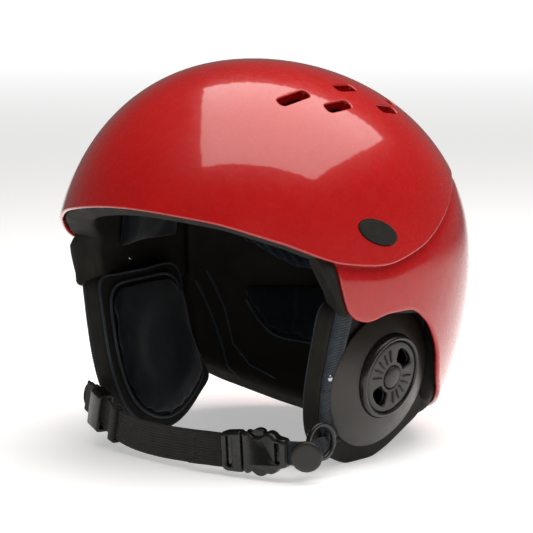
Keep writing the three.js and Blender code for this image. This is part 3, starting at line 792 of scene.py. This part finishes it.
for side_name, rings in zip(("left", "right"), side_blocks):
    pad(f"side_pad_{side_name}", rings, pad_knit, f"side_pad_{side_name}")
nape_line = np.linspace(141, 219, 60)
stitched("nape_pad_piping", in_layer(nape_line, nape_pad_bottom(nape_line) + 0.6, PAD_OUTER + 3.4), 0.7, piping_cord_painted_lighter,
         closed=False)
# Painted highlights: two cords each side in the lighter cord cloth, laid on the liner's inner face behind the ear cups
# where the light runs along the foam's edges.
LINER_EDGE_HIGHLIGHTS = (((123, 102.5), (126, 108), (129, 115), (131.4, 122), (133.5, 129.5), (138.5, 133)),
              ((127.5, 99.5), (130.5, 105), (133.5, 111.5), (136, 122.5), (142, 128.5), (152, 132)))
for number, knots in enumerate(LINER_EDGE_HIGHLIGHTS, 1):
    knots = np.array(knots, float)
    share = np.linspace(0, len(knots) - 1, 50)
    bearing, tilt = (np.interp(share, range(len(knots)), column) for column in knots.T)
    for side_name, mirror in (("left", 1), ("right", -1)):
        cord = in_layer(bearing * mirror, tilt, LINER_INNER + 0.3)
        stitched(f"liner_edge_highlight_{number}_{side_name}", cord, 0.65, piping_cord_painted_lighter, closed=False)


# ==== Temple rivets ====
# A polished steel rivet inside each temple holds the strap's anchor; its low domed head is
# pressed into the foam.
def polished_steel(name):
    mat = material(name, 0.22, metallic=1.0)
    wire(mat, Base_Color=between(mat, noise(mat, 500, 5), (0.34, 0.36, 0.4), (0.5, 0.52, 0.56)),
         Roughness=ranged(mat, noise(mat, 1500, 3), 0.16, 0.34))
    return mat


def turned_rings(profile, centre, axis, sides=48):
    """Rings of a turned piece: profile gives radius and height along the axis."""
    axis = np.array(axis, float) / np.linalg.norm(axis)
    side = np.cross(axis, (0, 0, 1) if abs(axis[2]) < 0.9 else (1, 0, 0))
    side /= np.linalg.norm(side)
    up = np.cross(axis, side)
    turn = np.linspace(0, 2 * math.pi, sides, endpoint=False)[:, None]
    around = side * np.cos(turn) + up * np.sin(turn)
    for radius, height in profile:
        yield np.array(centre) + around * radius + axis * height


rivet_steel = polished_steel("rivet_steel")
RIVET_HEAD = [(0, 1.2), (0.7, 1.12), (1.3, 0.9), (1.8, 0.5), (2.1, 0.1), (2.1, -0.4), (0, -0.4)]


def temple_rivet():
    place = in_layer(90, 92, LINER_INNER - 1.2)
    return turned_rings(RIVET_HEAD, place, -place / np.linalg.norm(place))


for side_name, rings in zip(("left", "right"), both_sides(temple_rivet)):
    stud = loft(f"temple_rivet_{side_name}", list(rings), sharp=60)
    fit(stud, rivet_steel, "helmet", "steel", f"temple_rivet_{side_name}")


# ==== Ear cup foam ====
# The body of each ear cup, EVA foam 11 mm thick with eased edges, hung from the temple foam and
# trimmed flat where the helmet rests. A thin bound cord runs round the edge that meets the face.
EAR_MIDDLE = np.array((88, 3.7, -57))
EAR_AXES = np.array(((0.97888, -0.07507, -0.19017), (0.07647, 0.99707, 0), (0.18961, -0.01454, 0.98175)))
FOAM_OUTLINE = ((-47, 46), (-49.5, 22), (-50, 0), (-47.5, -18), (-41, -34), (-26, -45.5), (-4, -51.8), (18, -47),
                (38, -35.5), (50, -28), (45, -17), (38, -2), (36, 22), (32, 46), (0, 47), (-30, 47))
FOAM_LOW, FOAM_HIGH = -13.8, -2.6


def in_ear(flat, depth):
    """Points of the left ear cup, from outlines rearward and up, and depth outward."""
    return EAR_MIDDLE + np.column_stack([np.full(len(flat), depth), flat]) @ EAR_AXES


def spline(points, count, closed=False):
    """A smooth line through points, as evenly spaced points."""
    p = np.asarray(points, float)
    p = np.concatenate([p[-1:], p, p[:2]]) if closed else np.concatenate([2 * p[:1] - p[1:2], p, 2 * p[-1:] - p[-2:-1]])
    t = np.linspace(0, len(p) - 3, 24 * len(p))
    i = np.minimum(t.astype(int), len(p) - 4)
    u = (t - i)[:, None]
    a, b, c, d = (p[i + k] for k in range(4))
    line = 0.5 * (2 * b + (c - a) * u + (2 * a - 5 * b + 4 * c - d) * u**2 + (3 * b - a - 3 * c + d) * u**3)
    run = np.r_[0, np.cumsum(np.linalg.norm(np.diff(line, axis=0), axis=1))]
    places = np.linspace(0, run[-1], count, endpoint=not closed)
    return np.stack([np.interp(places, run, axis) for axis in line.T], 1)


def soften(line, times):
    for _ in range(times):
        line = (np.roll(line, 1, 0) + 2 * line + np.roll(line, -1, 0)) / 4
    return line


def outward(line):
    along = np.roll(line, -1, 0) - np.roll(line, 1, 0)
    out = np.stack([along[:, 1], -along[:, 0]], 1) / np.linalg.norm(along, axis=1, keepdims=True)
    return out * np.sign(np.sum(out * (line - line.mean(0))))


def slab_rings(place, outline, low, high, ease_low, ease_high):
    """Rings of a flat piece with rounded edges, between two depths."""
    turn = np.linspace(0, math.pi / 2, 6)
    corner, opposite = outline.min(0), outline.max(0)
    middle, half = (corner + opposite) / 2, (opposite - corner) / 2
    steps = [(ease_low * (1 - math.sin(a)), low + ease_low * (1 - math.cos(a))) for a in turn]
    steps += [(ease_high * (1 - math.sin(a)), high - ease_high * (1 - math.cos(a))) for a in turn[::-1]]
    for inset, depth in steps:
        yield place(middle + (outline - middle) * (1 - inset / half), depth)


foam_outline = soften(spline(FOAM_OUTLINE, 160, closed=True), 10)
foam_rings = both_sides(lambda: trim(slab_rings(in_ear, foam_outline, FOAM_LOW, FOAM_HIGH, 2.6, 1.6)))
foam_edge = in_ear(foam_outline - outward(foam_outline) * 1.4, FOAM_LOW + 0.5)
for side_name, rings, edge in zip(("left", "right"), foam_rings, (foam_edge, foam_edge * (-1, 1, 1))):
    cup = loft(f"ear_foam_{side_name}", list(rings))
    fit(cup, liner_foam, "helmet", "eva_foam", f"ear_foam_{side_name}")
    stitched(f"ear_foam_piping_{side_name}", edge, 0.75, piping_cord_painted_lighter)


# ==== Ear pads ====
# A comfort pad inside each ear cup: soft foam in the same dark jersey, dished over the ear, with
# a corded edge, stuck to the cup's foam.
PAD_SHARE, PAD_MIDDLE = np.array((0.84, 0.86)), np.array((-2, -3))
pad_outline = soften(spline(np.array(FOAM_OUTLINE) * PAD_SHARE + PAD_MIDDLE * (1 - PAD_SHARE), 110, closed=True), 22)


def seat_on_cup(points):
    """Keeps an ear pad off the foam behind it, and dishes its middle."""
    mirror = np.where(points[:, :1] < 0, (-1.0, 1.0, 1.0), (1.0, 1.0, 1.0))
    local = (points * mirror - EAR_MIDDLE) @ EAR_AXES.T
    reach = np.linalg.norm((local[:, 1:] - (-3, -2)) / (36, 38), axis=1)
    face = smooth((-15.5 - local[:, 0]) / 3)
    local[:, 0] = np.minimum(local[:, 0] + 2.6 * face * smooth((0.8 - reach) / 0.5), FOAM_LOW + 0.3)
    return (local @ EAR_AXES + EAR_MIDDLE) * mirror


ear_pad_rings = both_sides(lambda: slab_rings(in_ear, pad_outline, -19.4, -14, 2.2, 1.2))
ear_pad_edge = in_ear(pad_outline + outward(pad_outline) * 0.6, -15.4)
for side_name, rings, edge in zip(("left", "right"), ear_pad_rings, (ear_pad_edge, ear_pad_edge * (-1, 1, 1))):
    pad(f"ear_pad_{side_name}", rings, pad_knit, f"ear_pad_{side_name}", seat_on_cup)
    stitched(f"ear_pad_piping_{side_name}", edge, 0.8, piping_cord_painted_lighter)


# ==== Ear domes ====
# A black nylon dome over each ear cup, thin walled with a rolled rim, screwed down through the
# foam. Its round opening carries the sound dial's bezel.
DOME_HALF, DOME_RISE, DOME_WALL, OPENING = (42, 40), 11, 1.7, 24.1
DIAL_MIDDLE = np.array((-3, 4.6))


def moulded_nylon(name, deep, bright, roughness=0.36):
    """Satin moulded nylon: faint mottling, fine scuffs, a very fine texture from the mould."""
    mat = material(name, roughness, specular_ior_level=0.5)
    grain = noise(mat, 1900, 3, 0.6)
    wire(mat, Base_Color=between(mat, noise(mat, 28, 5), deep, bright),
         Roughness=ranged(mat, noise(mat, 120, 8, 0.7), roughness - 0.06, roughness + 0.1),
         Normal=bump(mat, grain, 0.25, 0.0002))
    return mat


dome_nylon = moulded_nylon("dome_nylon", (0.013, 0.0105, 0.0075), (0.021, 0.017, 0.012))
dial_nylon = moulded_nylon("dial_nylon", (0.011, 0.0095, 0.0075), (0.017, 0.0145, 0.011), 0.42)


def dome_rings():
    turn = np.linspace(0, 2 * math.pi, 120, endpoint=False)
    around = np.stack([np.cos(turn), np.sin(turn)], 1)
    mouth, rim = DIAL_MIDDLE + around * OPENING, around * DOME_HALF

    def at(share, drop=0.0, grow=0.0):
        flat = mix(mouth, rim, share) + around * grow
        reach = np.linalg.norm(mix(mouth, rim, share) / DOME_HALF, axis=1)
        return EAR_MIDDLE + np.column_stack([DOME_RISE * (1 - reach**2.4) - drop, flat]) @ EAR_AXES
    shares = np.linspace(0, 1, 30)
    lip = [(0.35, 0.25), (0.8, 0.35), (1.3, 0.2), (1.6, -0.3), (1.6, -1)]
    return [at(0, 0.8), at(0, 0.25, 0.1), at(0, 0, 0.5), *(at(t) for t in shares[1:]),
            *(at(1, drop, grow) for drop, grow in lip), *(at(t, DOME_WALL) for t in shares[-2::-2])]


for side_name, rings in zip(("left", "right"), both_sides(dome_rings)):
    dome = loft(f"ear_dome_{side_name}", list(rings), loop=True, sharp=60)
    fit(dome, dome_nylon, "helmet", "black_satin", f"ear_dome_{side_name}")


# ==== Sound dials ====
# A gloss bezel ring pressed into each dome, a fixed port plate under it, and a dial that turns on
# a round hub. The dial's two arc windows uncover the ports; finger ribs fan out on either side.
DIAL_RADIUS, DIAL_LOW, DIAL_HIGH, HUB_RADIUS = 20.6, 7.92, 10.32, 6.5
WINDOW_INNER, WINDOW_OUTER, WINDOW_ANGLE, WINDOW_TURNS = 9, 17.2, 62, (52, 232)
BEZEL = [(24.0, 6), (24.0, 9), (23.7, 10), (23.1, 10.7), (22.4, 10.95), (21.8, 10.75), (21.4, 10.3), (21.15, 10.5),
         (20.95, 10.1), (20.9, 6)]
DIAL = [(6.8, DIAL_LOW), (20.2, DIAL_LOW), (20.6, 8.3), (20.6, 9.5), (20.35, 9.95), (19.8, 10.15), (18, 10.3),
        (12, 10.5), (8, 10.55), (7.2, 10.45), (6.8, 10)]
HUB = [(0, 12), (2, 11.95), (4, 11.75), (5.4, 11.4), (6.1, 11), (6.45, 10.4), (6.5, 9.8), (6.5, 7), (0, 7)]
PORT = [(0, 7.6), (10, 7.6), (20.2, 7.6), (20.5, 7.3), (20.5, 6), (0, 6)]


def window_rings(turn, low, high):
    """A cutter for one of the arc windows, with round corners."""
    middle = (WINDOW_INNER + WINDOW_OUTER) / 2
    arc = middle * math.radians(WINDOW_ANGLE)
    outline = rounded_ring(WINDOW_OUTER - WINDOW_INNER, arc, 2.4, 4, 8)
    for depth in (low, high):
        radius, angle = WINDOW_INNER + outline[:, 0], math.radians(turn) + (outline[:, 1] - arc / 2) / middle
        yield in_ear(DIAL_MIDDLE + np.stack([np.cos(angle), np.sin(angle)], 1) * radius[:, None], depth)


def rib_rings(turn):
    """One finger rib: a low rounded bar that points at the hub."""
    toward = np.array((math.cos(turn), math.sin(turn)))
    across = np.array((-toward[1], toward[0]))
    arch = np.linspace(0, math.pi, 9)
    for radius, share in ((9.2, 0.02), (9.5, 0.6), (10.2, 0.95), (11, 1), (15, 1), (16.3, 0.9), (17, 0.55), (17.2, 0.02)):
        rise = DIAL_HIGH - 0.2 + 1.5 * share * np.sin(arch)
        flat = DIAL_MIDDLE + toward * radius + np.cos(arch)[:, None] * across * (0.72 * max(share, 0.3))
        yield EAR_MIDDLE + np.column_stack([rise, flat]) @ EAR_AXES


gloss_nylon = moulded_nylon("gloss_nylon", (0.008, 0.0075, 0.007), (0.013, 0.012, 0.011), 0.24)
port_nylon = moulded_nylon("port_nylon", (0.004, 0.004, 0.004), (0.007, 0.007, 0.006), 0.5)
dial_centre = in_ear(DIAL_MIDDLE[None], 0)[0]
for side_name, flip in (("left", (1, 1, 1)), ("right", (-1, 1, 1))):
    def turned(profile):
        return [ring * flip for ring in turned_rings(profile, dial_centre, EAR_AXES[0], 96)]

    def windows(low, high):
        holes = [[ring * flip for ring in window_rings(turn, low, high)] for turn in WINDOW_TURNS]
        return cutter("window_tool", holes)

    bezel = loft(f"ear_bezel_{side_name}", np.swapaxes(turned(BEZEL), 0, 1), loop=True, sharp=50)
    fit(bezel, gloss_nylon, "helmet", "black_gloss", f"ear_bezel_{side_name}")
    port = loft(f"ear_port_plate_{side_name}", turned(PORT), sharp=50)
    cut(port, windows(5, 9), keep_tool=False)
    fit(port, port_nylon, "helmet", "black_gloss", f"ear_port_plate_{side_name}")
    knob = loft(f"ear_dial_{side_name}", np.swapaxes(turned(DIAL), 0, 1), loop=True, sharp=50)
    cut(knob, windows(6, 13), keep_tool=False)
    fit(knob, dial_nylon, f"dial_{side_name}", "black_satin", f"ear_dial_{side_name}")
    turns = [math.radians(middle + fan) for middle in (142, 322) for fan in np.linspace(-34, 34, 5)]
    ribs = cutter(f"dial_ribs_{side_name}", [[ring * flip for ring in rib_rings(turn)] for turn in turns])
    fit(ribs, dial_nylon, f"dial_{side_name}", "black_satin")
    hub = loft(f"dial_hub_{side_name}", turned(HUB), sharp=60)
    fit(hub, dial_nylon, "helmet", "black_satin", f"dial_hub_{side_name}")


# ==== Ear straps ====
# Ribbed navy webbing, 15 mm wide, down the front of each ear cup between its foam and its dome,
# held by a small domed steel rivet.
RIB_PITCH, RIB_RISE = 1.6, 0.38
STRAP_FRONT = ((-46.6, 47), (-47.6, 34), (-48.6, 20), (-48.8, 0), (-46, -18), (-39.5, -32))


def woven(name, deep, bright, direction, scale):
    """Nylon webbing: a fine weave in rows, with soft fuzz and worn high spots."""
    mat = material(name, 0.8, specular_ior_level=0.3, sheen_weight=0.25, sheen_roughness=0.45)
    rows = node(mat, "TexWave", {"Vector": where(mat), "Scale": scale, "Distortion": 2.0, "Detail": 2.0,
                                 "Detail Scale": 3.0}, "Fac", bands_direction=direction)
    fuzz = noise(mat, 1300, 4, 0.7)
    wire(mat, Base_Color=between(mat, noise(mat, 200, 8, 0.8), deep, bright, 0.35, 0.7),
         Roughness=ranged(mat, fuzz, 0.7, 0.9),
         Normal=bump(mat, rows, 0.45, 0.0003, bump(mat, fuzz, 0.4, 0.0003)))
    return mat


ribbed_webbing = woven("ribbed_webbing", (0.008, 0.013, 0.018), (0.026, 0.04, 0.055), "X", 420.0)


def strap_rings():
    front = spline(STRAP_FRONT, 280)
    run = np.linspace(0, 1, len(front))[:, None]
    back = front + np.hstack([15 - 3.6 * run, 2.4 * run])
    length = np.r_[0, np.cumsum(np.linalg.norm(np.diff(front, axis=0), axis=1))]
    across = np.array([0, 0.02, 0.06, 0.3, 0.5, 0.7, 0.94, 0.98, 1])
    crown = np.array([0, 0.6, 1, 1, 1, 1, 1, 0.6, 0])
    for a, b, along in zip(front, back, length):
        rib = RIB_RISE * (0.5 + 0.5 * math.cos(2 * math.pi * along / RIB_PITCH)) ** 0.7
        top = np.column_stack([-1.3 + (0.75 + rib) * crown, mix(a, b, across[:, None])])
        base = np.column_stack([-2.3 * np.ones(2), mix(a, b, np.array([[0.98], [0.02]]))])
        yield EAR_MIDDLE + np.vstack([top, base]) @ EAR_AXES


STUD = (-44.4, 6.5)
for side_name, rings, studs in zip(("left", "right"), both_sides(strap_rings),
                                   both_sides(lambda: turned_rings(RIVET_HEAD, in_ear(np.array([STUD]), -0.35)[0],
                                                                   EAR_AXES[0]))):
    strap = loft(f"ear_strap_{side_name}", list(rings), sharp=70)
    fit(strap, ribbed_webbing, "helmet", "webbing", f"ear_strap_{side_name}")
    stud = loft(f"strap_rivet_{side_name}", list(studs), sharp=60)
    fit(stud, rivet_steel, "helmet", "steel", f"strap_rivet_{side_name}")


# ==== Chin webbing ====
# The chin strap, 19 mm black nylon webbing on edge with fine lengthwise ridges. It is sewn back
# on itself round the buckle's bar, and its far end is folded through the slider by the right ear.
CHIN_POINTS = ((-80, -54, -77.5), (-68.5, -58.5, -81), (-57, -63, -84.5), (-45.5, -67.5, -88), (-29, -71, -90.8),
               (-9, -73.5, -91.8), (14, -75, -91.4), (28, -74.9, -90.9))
BUCKLE_MOUTH = np.array((50, -71, -90.2))
BUCKLE_AXES = np.array(((0.98605, 0.15618, 0.05756), (-0.15643, 0.98769, 0), (-0.05686, -0.009, 0.99834)))
WEBBING_HEIGHT = 19


def in_buckle(flat, depth):
    """Points of the buckle, from outlines along it and up it, and depth towards the neck."""
    flat = np.asarray(flat, float)
    return BUCKLE_MOUTH + np.column_stack([flat[:, 0], np.full(len(flat), depth), flat[:, 1]]) @ BUCKLE_AXES


def band_rings(line, height, thickness, offset=0.0, ridges=0, rib=0.0, round_ends=0.0):
    """Rings of webbing on edge along a line: ridges run along it, ribs across it."""
    along = np.gradient(line, axis=0)
    along /= np.linalg.norm(along, axis=1, keepdims=True)
    through = np.cross((0, 0, 1), along)
    through /= np.linalg.norm(through, axis=1, keepdims=True)
    up = np.cross(along, through)
    run = np.r_[0, np.cumsum(np.linalg.norm(np.diff(line, axis=0), axis=1))]
    share = np.linspace(-1, 1, 4 * ridges + 1 if ridges else 13)
    edge = np.minimum(1, (1 - np.abs(share)) * height / 1.1 + 0.25)
    for point, a, b, place in zip(line, through, up, run):
        left = min(place, run[-1] - place)
        narrow = 1 - (1 - math.sqrt(1 - (1 - min(left / round_ends, 1)) ** 2)) * 0.9 if round_ends else 1
        wave = 0.12 * np.cos(share * ridges * math.pi) * (ridges > 0)
        wave += rib * (0.5 + 0.5 * math.cos(2 * math.pi * place / RIB_PITCH))
        half = (thickness / 2 + wave) * edge
        z = share * height / 2 * narrow
        yield np.vstack([point + a * (offset + h) + b * v for h, v in
                         [*zip(-half, z), *zip(half[::-1], z[::-1])]])


chin_webbing = woven("chin_webbing", (0.007, 0.0065, 0.0055), (0.022, 0.02, 0.017), "Z", 260.0)
bar_end = in_buckle([(-11.2, 0)], 0)[0]
chin_line = spline((*CHIN_POINTS, in_buckle([(-15, 0)], 0)[0], bar_end), 260)
fold_line = chin_line[-52:]
chin_parts = [band_rings(chin_line, WEBBING_HEIGHT, 1.7, 0.4, ridges=12),
              band_rings(fold_line, WEBBING_HEIGHT - 0.4, 1.6, -1.5, ridges=12)]
chin = cutter("chin_webbing", [list(part) for part in chin_parts])
chin.data.materials.append(chin_webbing)
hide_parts("chin_webbing")
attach(chin, "chin_strap")
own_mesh(chin)

tail_line = spline((chin_line[46], chin_line[20], chin_line[0], (-84.6, -52.4, -75.4)), 90)
tails = cutter("strap_tails", [list(band_rings(tail_line[18:], 17.5, 1.7, -2.1, ridges=10, round_ends=7)),
                               list(band_rings(tail_line[30:-14], 17, 1.6, -4, ridges=10, round_ends=6))])
fit(tails, chin_webbing, "chin_strap", "webbing")


def stitch_rings(start, end):
    """One stitch: a short round thread that dips at both ends."""
    line = spline((start, mix(start, end, 0.5) + (0, -0.25, 0), end), 5)
    return piping_rings(line, 0.3, closed=False, sides=6)


sewing_thread = woven("sewing_thread", (0.02, 0.019, 0.017), (0.04, 0.038, 0.034), "X", 900.0)
stitches = []
for column in (-44, -38):
    place = chin_line[column]
    for step in np.arange(-7.5, 7, 2.2):
        start = place + (0.0, -2.35, step)
        stitches.append(list(stitch_rings(start, start + (0.9 if column == -44 else -0.9, 0, 1.6))))
seam = cutter("chin_stitches", stitches)
seam.data.materials.append(sewing_thread)
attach(seam, "chin_strap")
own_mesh(seam)


# ==== Slider and keeper ====
# A moulded slider that the chin webbing threads through, to set its length, and a short woven
# loop that keeps the webbing's folded tail flat.
def sleeve_rings(line, height, thickness, wall, ease=0.7):
    """Rings of an open sleeve round webbing, its two mouths eased."""
    along = line[-1] - line[0]
    length = np.linalg.norm(along)
    along = along / length
    through = np.cross((0, 0, 1), along)
    through /= np.linalg.norm(through)
    up = np.cross(along, through)
    profile = [(0, 0), (0, wall - ease), (ease * 0.3, wall - ease * 0.3), (ease, wall), (length - ease, wall),
               (length - ease * 0.3, wall - ease * 0.3), (length, wall - ease), (length, 0)]
    for place, grow in profile:
        ring = rounded_ring(thickness + 2 * grow, height + 2 * grow, 0.6 + grow, 2, 8)
        ring = ring - (thickness / 2 + grow, height / 2 + grow)
        yield line[0] + along * place + ring[:, :1] * through + ring[:, 1:] * up


def chin_run(middle, length):
    """The chord of the chin webbing, of a length about a share of it."""
    place = chin_line[round(middle * (len(chin_line) - 1))]
    ahead = chin_line[round(middle * (len(chin_line) - 1)) + 3] - place
    ahead /= np.linalg.norm(ahead)
    return np.array([place - ahead * length / 2, place + ahead * length / 2])


buckle_acetal = moulded_nylon("buckle_acetal", (0.006, 0.006, 0.0062), (0.01, 0.0098, 0.0095), 0.25)
slider_rings = sleeve_rings(chin_run(0.155, 12) + (0, -0.9, 0), 20, 5.4, 1.9)
slider = loft("strap_slider", list(slider_rings), loop=True, sharp=50)
fit(slider, buckle_acetal, "slider", "black_gloss", "strap_slider")
keeper_rings = sleeve_rings(chin_run(0.305, 5.5), 19.8, 3.6, 1.3, 0.5)
keeper = loft("keeper_loop", list(keeper_rings), loop=True, sharp=50)
fit(keeper, chin_webbing, "chin_strap", "webbing", "keeper_loop")


# ==== Buckle ====
# A side release buckle in gloss black acetal: an insert with two sprung prongs, and a hollow
# socket scooped out at both edges so that a thumb and a finger can press the prongs' pads.
HALF_THICK, SOCKET_WALL, SOCKET_DEPTH = 4.5, 1.6, 15
FEMALE_EDGE = ((0, 10.4), (0.9, 11.6), (2.8, 12), (4.6, 11.2), (6.6, 9.8), (9.6, 9.2), (12.6, 9.8), (14.8, 11.4),
               (16.8, 11.9), (19.2, 11), (21.4, 9), (24.4, 8.2), (26.2, 7.6), (27, 6))
MALE_EDGE = ((-13.5, 7.8), (-13, 9.6), (-11, 11), (-6, 11.5), (-1.6, 11.6), (-0.5, 11))
PRONG = ((-0.4, 7.5), (5, 7.5), (10, 7.2), (13.4, 6.8), (14, 8.4), (13.6, 11.6), (11.8, 13), (9, 13.2), (6.4, 11.8),
         (4, 10.2), (-0.4, 10))


def whole_outline(edge, count=120):
    """An outline from its upper edge, the same above and below, with eased corners."""
    upper = spline(edge, count)
    ring = np.concatenate([upper, (upper * (1, -1))[::-1]])
    gaps = np.linalg.norm(np.roll(ring, -1, 0) - ring, axis=1)
    run = np.r_[0, np.cumsum(gaps)]
    places = np.linspace(0, run[-1], 2 * count, endpoint=False)
    ring = np.vstack([ring, ring[:1]])
    return soften(np.stack([np.interp(places, run, axis) for axis in ring.T], 1), 3)


def block(low, high, half_height, half_depth):
    """A plain cutter in the buckle's frame."""
    corners = np.array([(low, -half_height), (high, -half_height), (high, half_height), (low, half_height)])
    return [in_buckle(corners, depth) for depth in (-half_depth, half_depth)]


def bar_slot(low, high, half_height):
    ring = rounded_ring(high - low, 2 * half_height, 1.2, 2, 6) + (low, -half_height)
    return [in_buckle(ring, depth) for depth in (-8, 8)]


female = loft("buckle_female", list(slab_rings(in_buckle, whole_outline(FEMALE_EDGE), -HALF_THICK, HALF_THICK, 2.6, 2.6)),
              sharp=50)
inside = HALF_THICK - SOCKET_WALL
cut(female, cutter("socket_tool", [block(-2, SOCKET_DEPTH, 16, inside)]), keep_tool=False)
cut(female, cutter("slot_tool", [bar_slot(20, 23.6, 6)]), keep_tool=False)
fit(female, buckle_acetal, "chin_strap", "black_gloss", "buckle_female")

male = loft("buckle_male", list(slab_rings(in_buckle, whole_outline(MALE_EDGE), -4.1, 4.1, 2.4, 2.4)), sharp=50)
cut(male, cutter("slot_tool", [bar_slot(-10.2, -6.4, 8.8)]), keep_tool=False)
fit(male, buckle_acetal, "buckle_insert", "black_gloss", "buckle_male")
tongue_outline = soften(spline(((-2, -2), (4, -2), (11, -1.6), (12, 0), (11, 1.6), (4, 2), (-2, 2)), 60, True), 2)
tongue = loft("buckle_tongue", list(slab_rings(in_buckle, tongue_outline, -1.8, 1.8, 0.5, 0.5)), sharp=50)
fit(tongue, buckle_acetal, "buckle_insert", "black_gloss")
for name, flip in (("upper", 1), ("lower", -1)):
    outline = soften(spline(np.array(PRONG) * (1, flip), 110, closed=True), 3)
    prong = loft(f"buckle_prong_{name}", list(slab_rings(in_buckle, outline, -2.4, 2.4, 0.8, 0.8)), sharp=50)
    fit(prong, buckle_acetal, f"prong_{name}", "black_gloss", f"buckle_prong_{name}")


# ==== Ring, cap and loop webbing ====
# The ear strap's ribbed webbing runs on behind a round moulded ring to the socket's bar. A round
# cap covers where the ring's ends are pressed together in front of it.
RING_MIDDLE, RING_RADIUS, RING_WIRE, RING_TURN = np.array((86, -50, -84)), 9.4, 1.5, 80
CAP_MIDDLE, CAP_TURN = np.array((87.6, -65.3, -89.5)), 37
CAP = [(0, 1.75), (3, 1.8), (6, 1.85), (7.2, 1.75), (8.1, 1.3), (8.55, 0.5), (8.6, -0.4), (8.3, -1.4), (7.6, -2), (0, -2)]


def facing(turn):
    """Sideways, up and outward directions of a piece that faces the front, turned by turn degrees."""
    c, s = math.cos(math.radians(turn)), math.sin(math.radians(turn))
    return np.array((c, s, 0)), np.array((0, 0, 1)), np.array((s, -c, 0))


side, up, out = facing(RING_TURN)
around = np.linspace(0, 2 * math.pi, 90, endpoint=False)[:, None]
ring_path = RING_MIDDLE + RING_RADIUS * (side * np.cos(around) + up * np.sin(around) * 1.02)
ring = loft("strap_loop", list(piping_rings(ring_path, RING_WIRE, sides=16)), loop=True, sharp=80)
fit(ring, buckle_acetal, "chin_strap", "black_gloss", "strap_loop")
cap = loft("loop_cap", list(turned_rings(CAP, CAP_MIDDLE, facing(CAP_TURN)[2], 72)), sharp=60)
fit(cap, dial_nylon, "chin_strap", "black_gloss", "loop_cap")

strap_end = in_ear(np.array([(-34, -33)]), -1.4)[0]
loop_start = in_ear(np.array([(-37, -22)]), -1.6)[0]
loop_line = spline((loop_start, strap_end + (1, -3, -1), (81.6, -45, -90), (83.2, -53, -90), (82.4, -60, -89.4),
                    (79, -65.4, -88.8), in_buckle([(21.8, 0)], 0)[0]), 220)
webbing_loop = loft("loop_webbing", list(band_rings(loop_line, 13.4, 1.8, rib=RIB_RISE)), sharp=70)
webbing_loop.data.materials.append(ribbed_webbing)
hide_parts("loop_webbing")
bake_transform(webbing_loop)
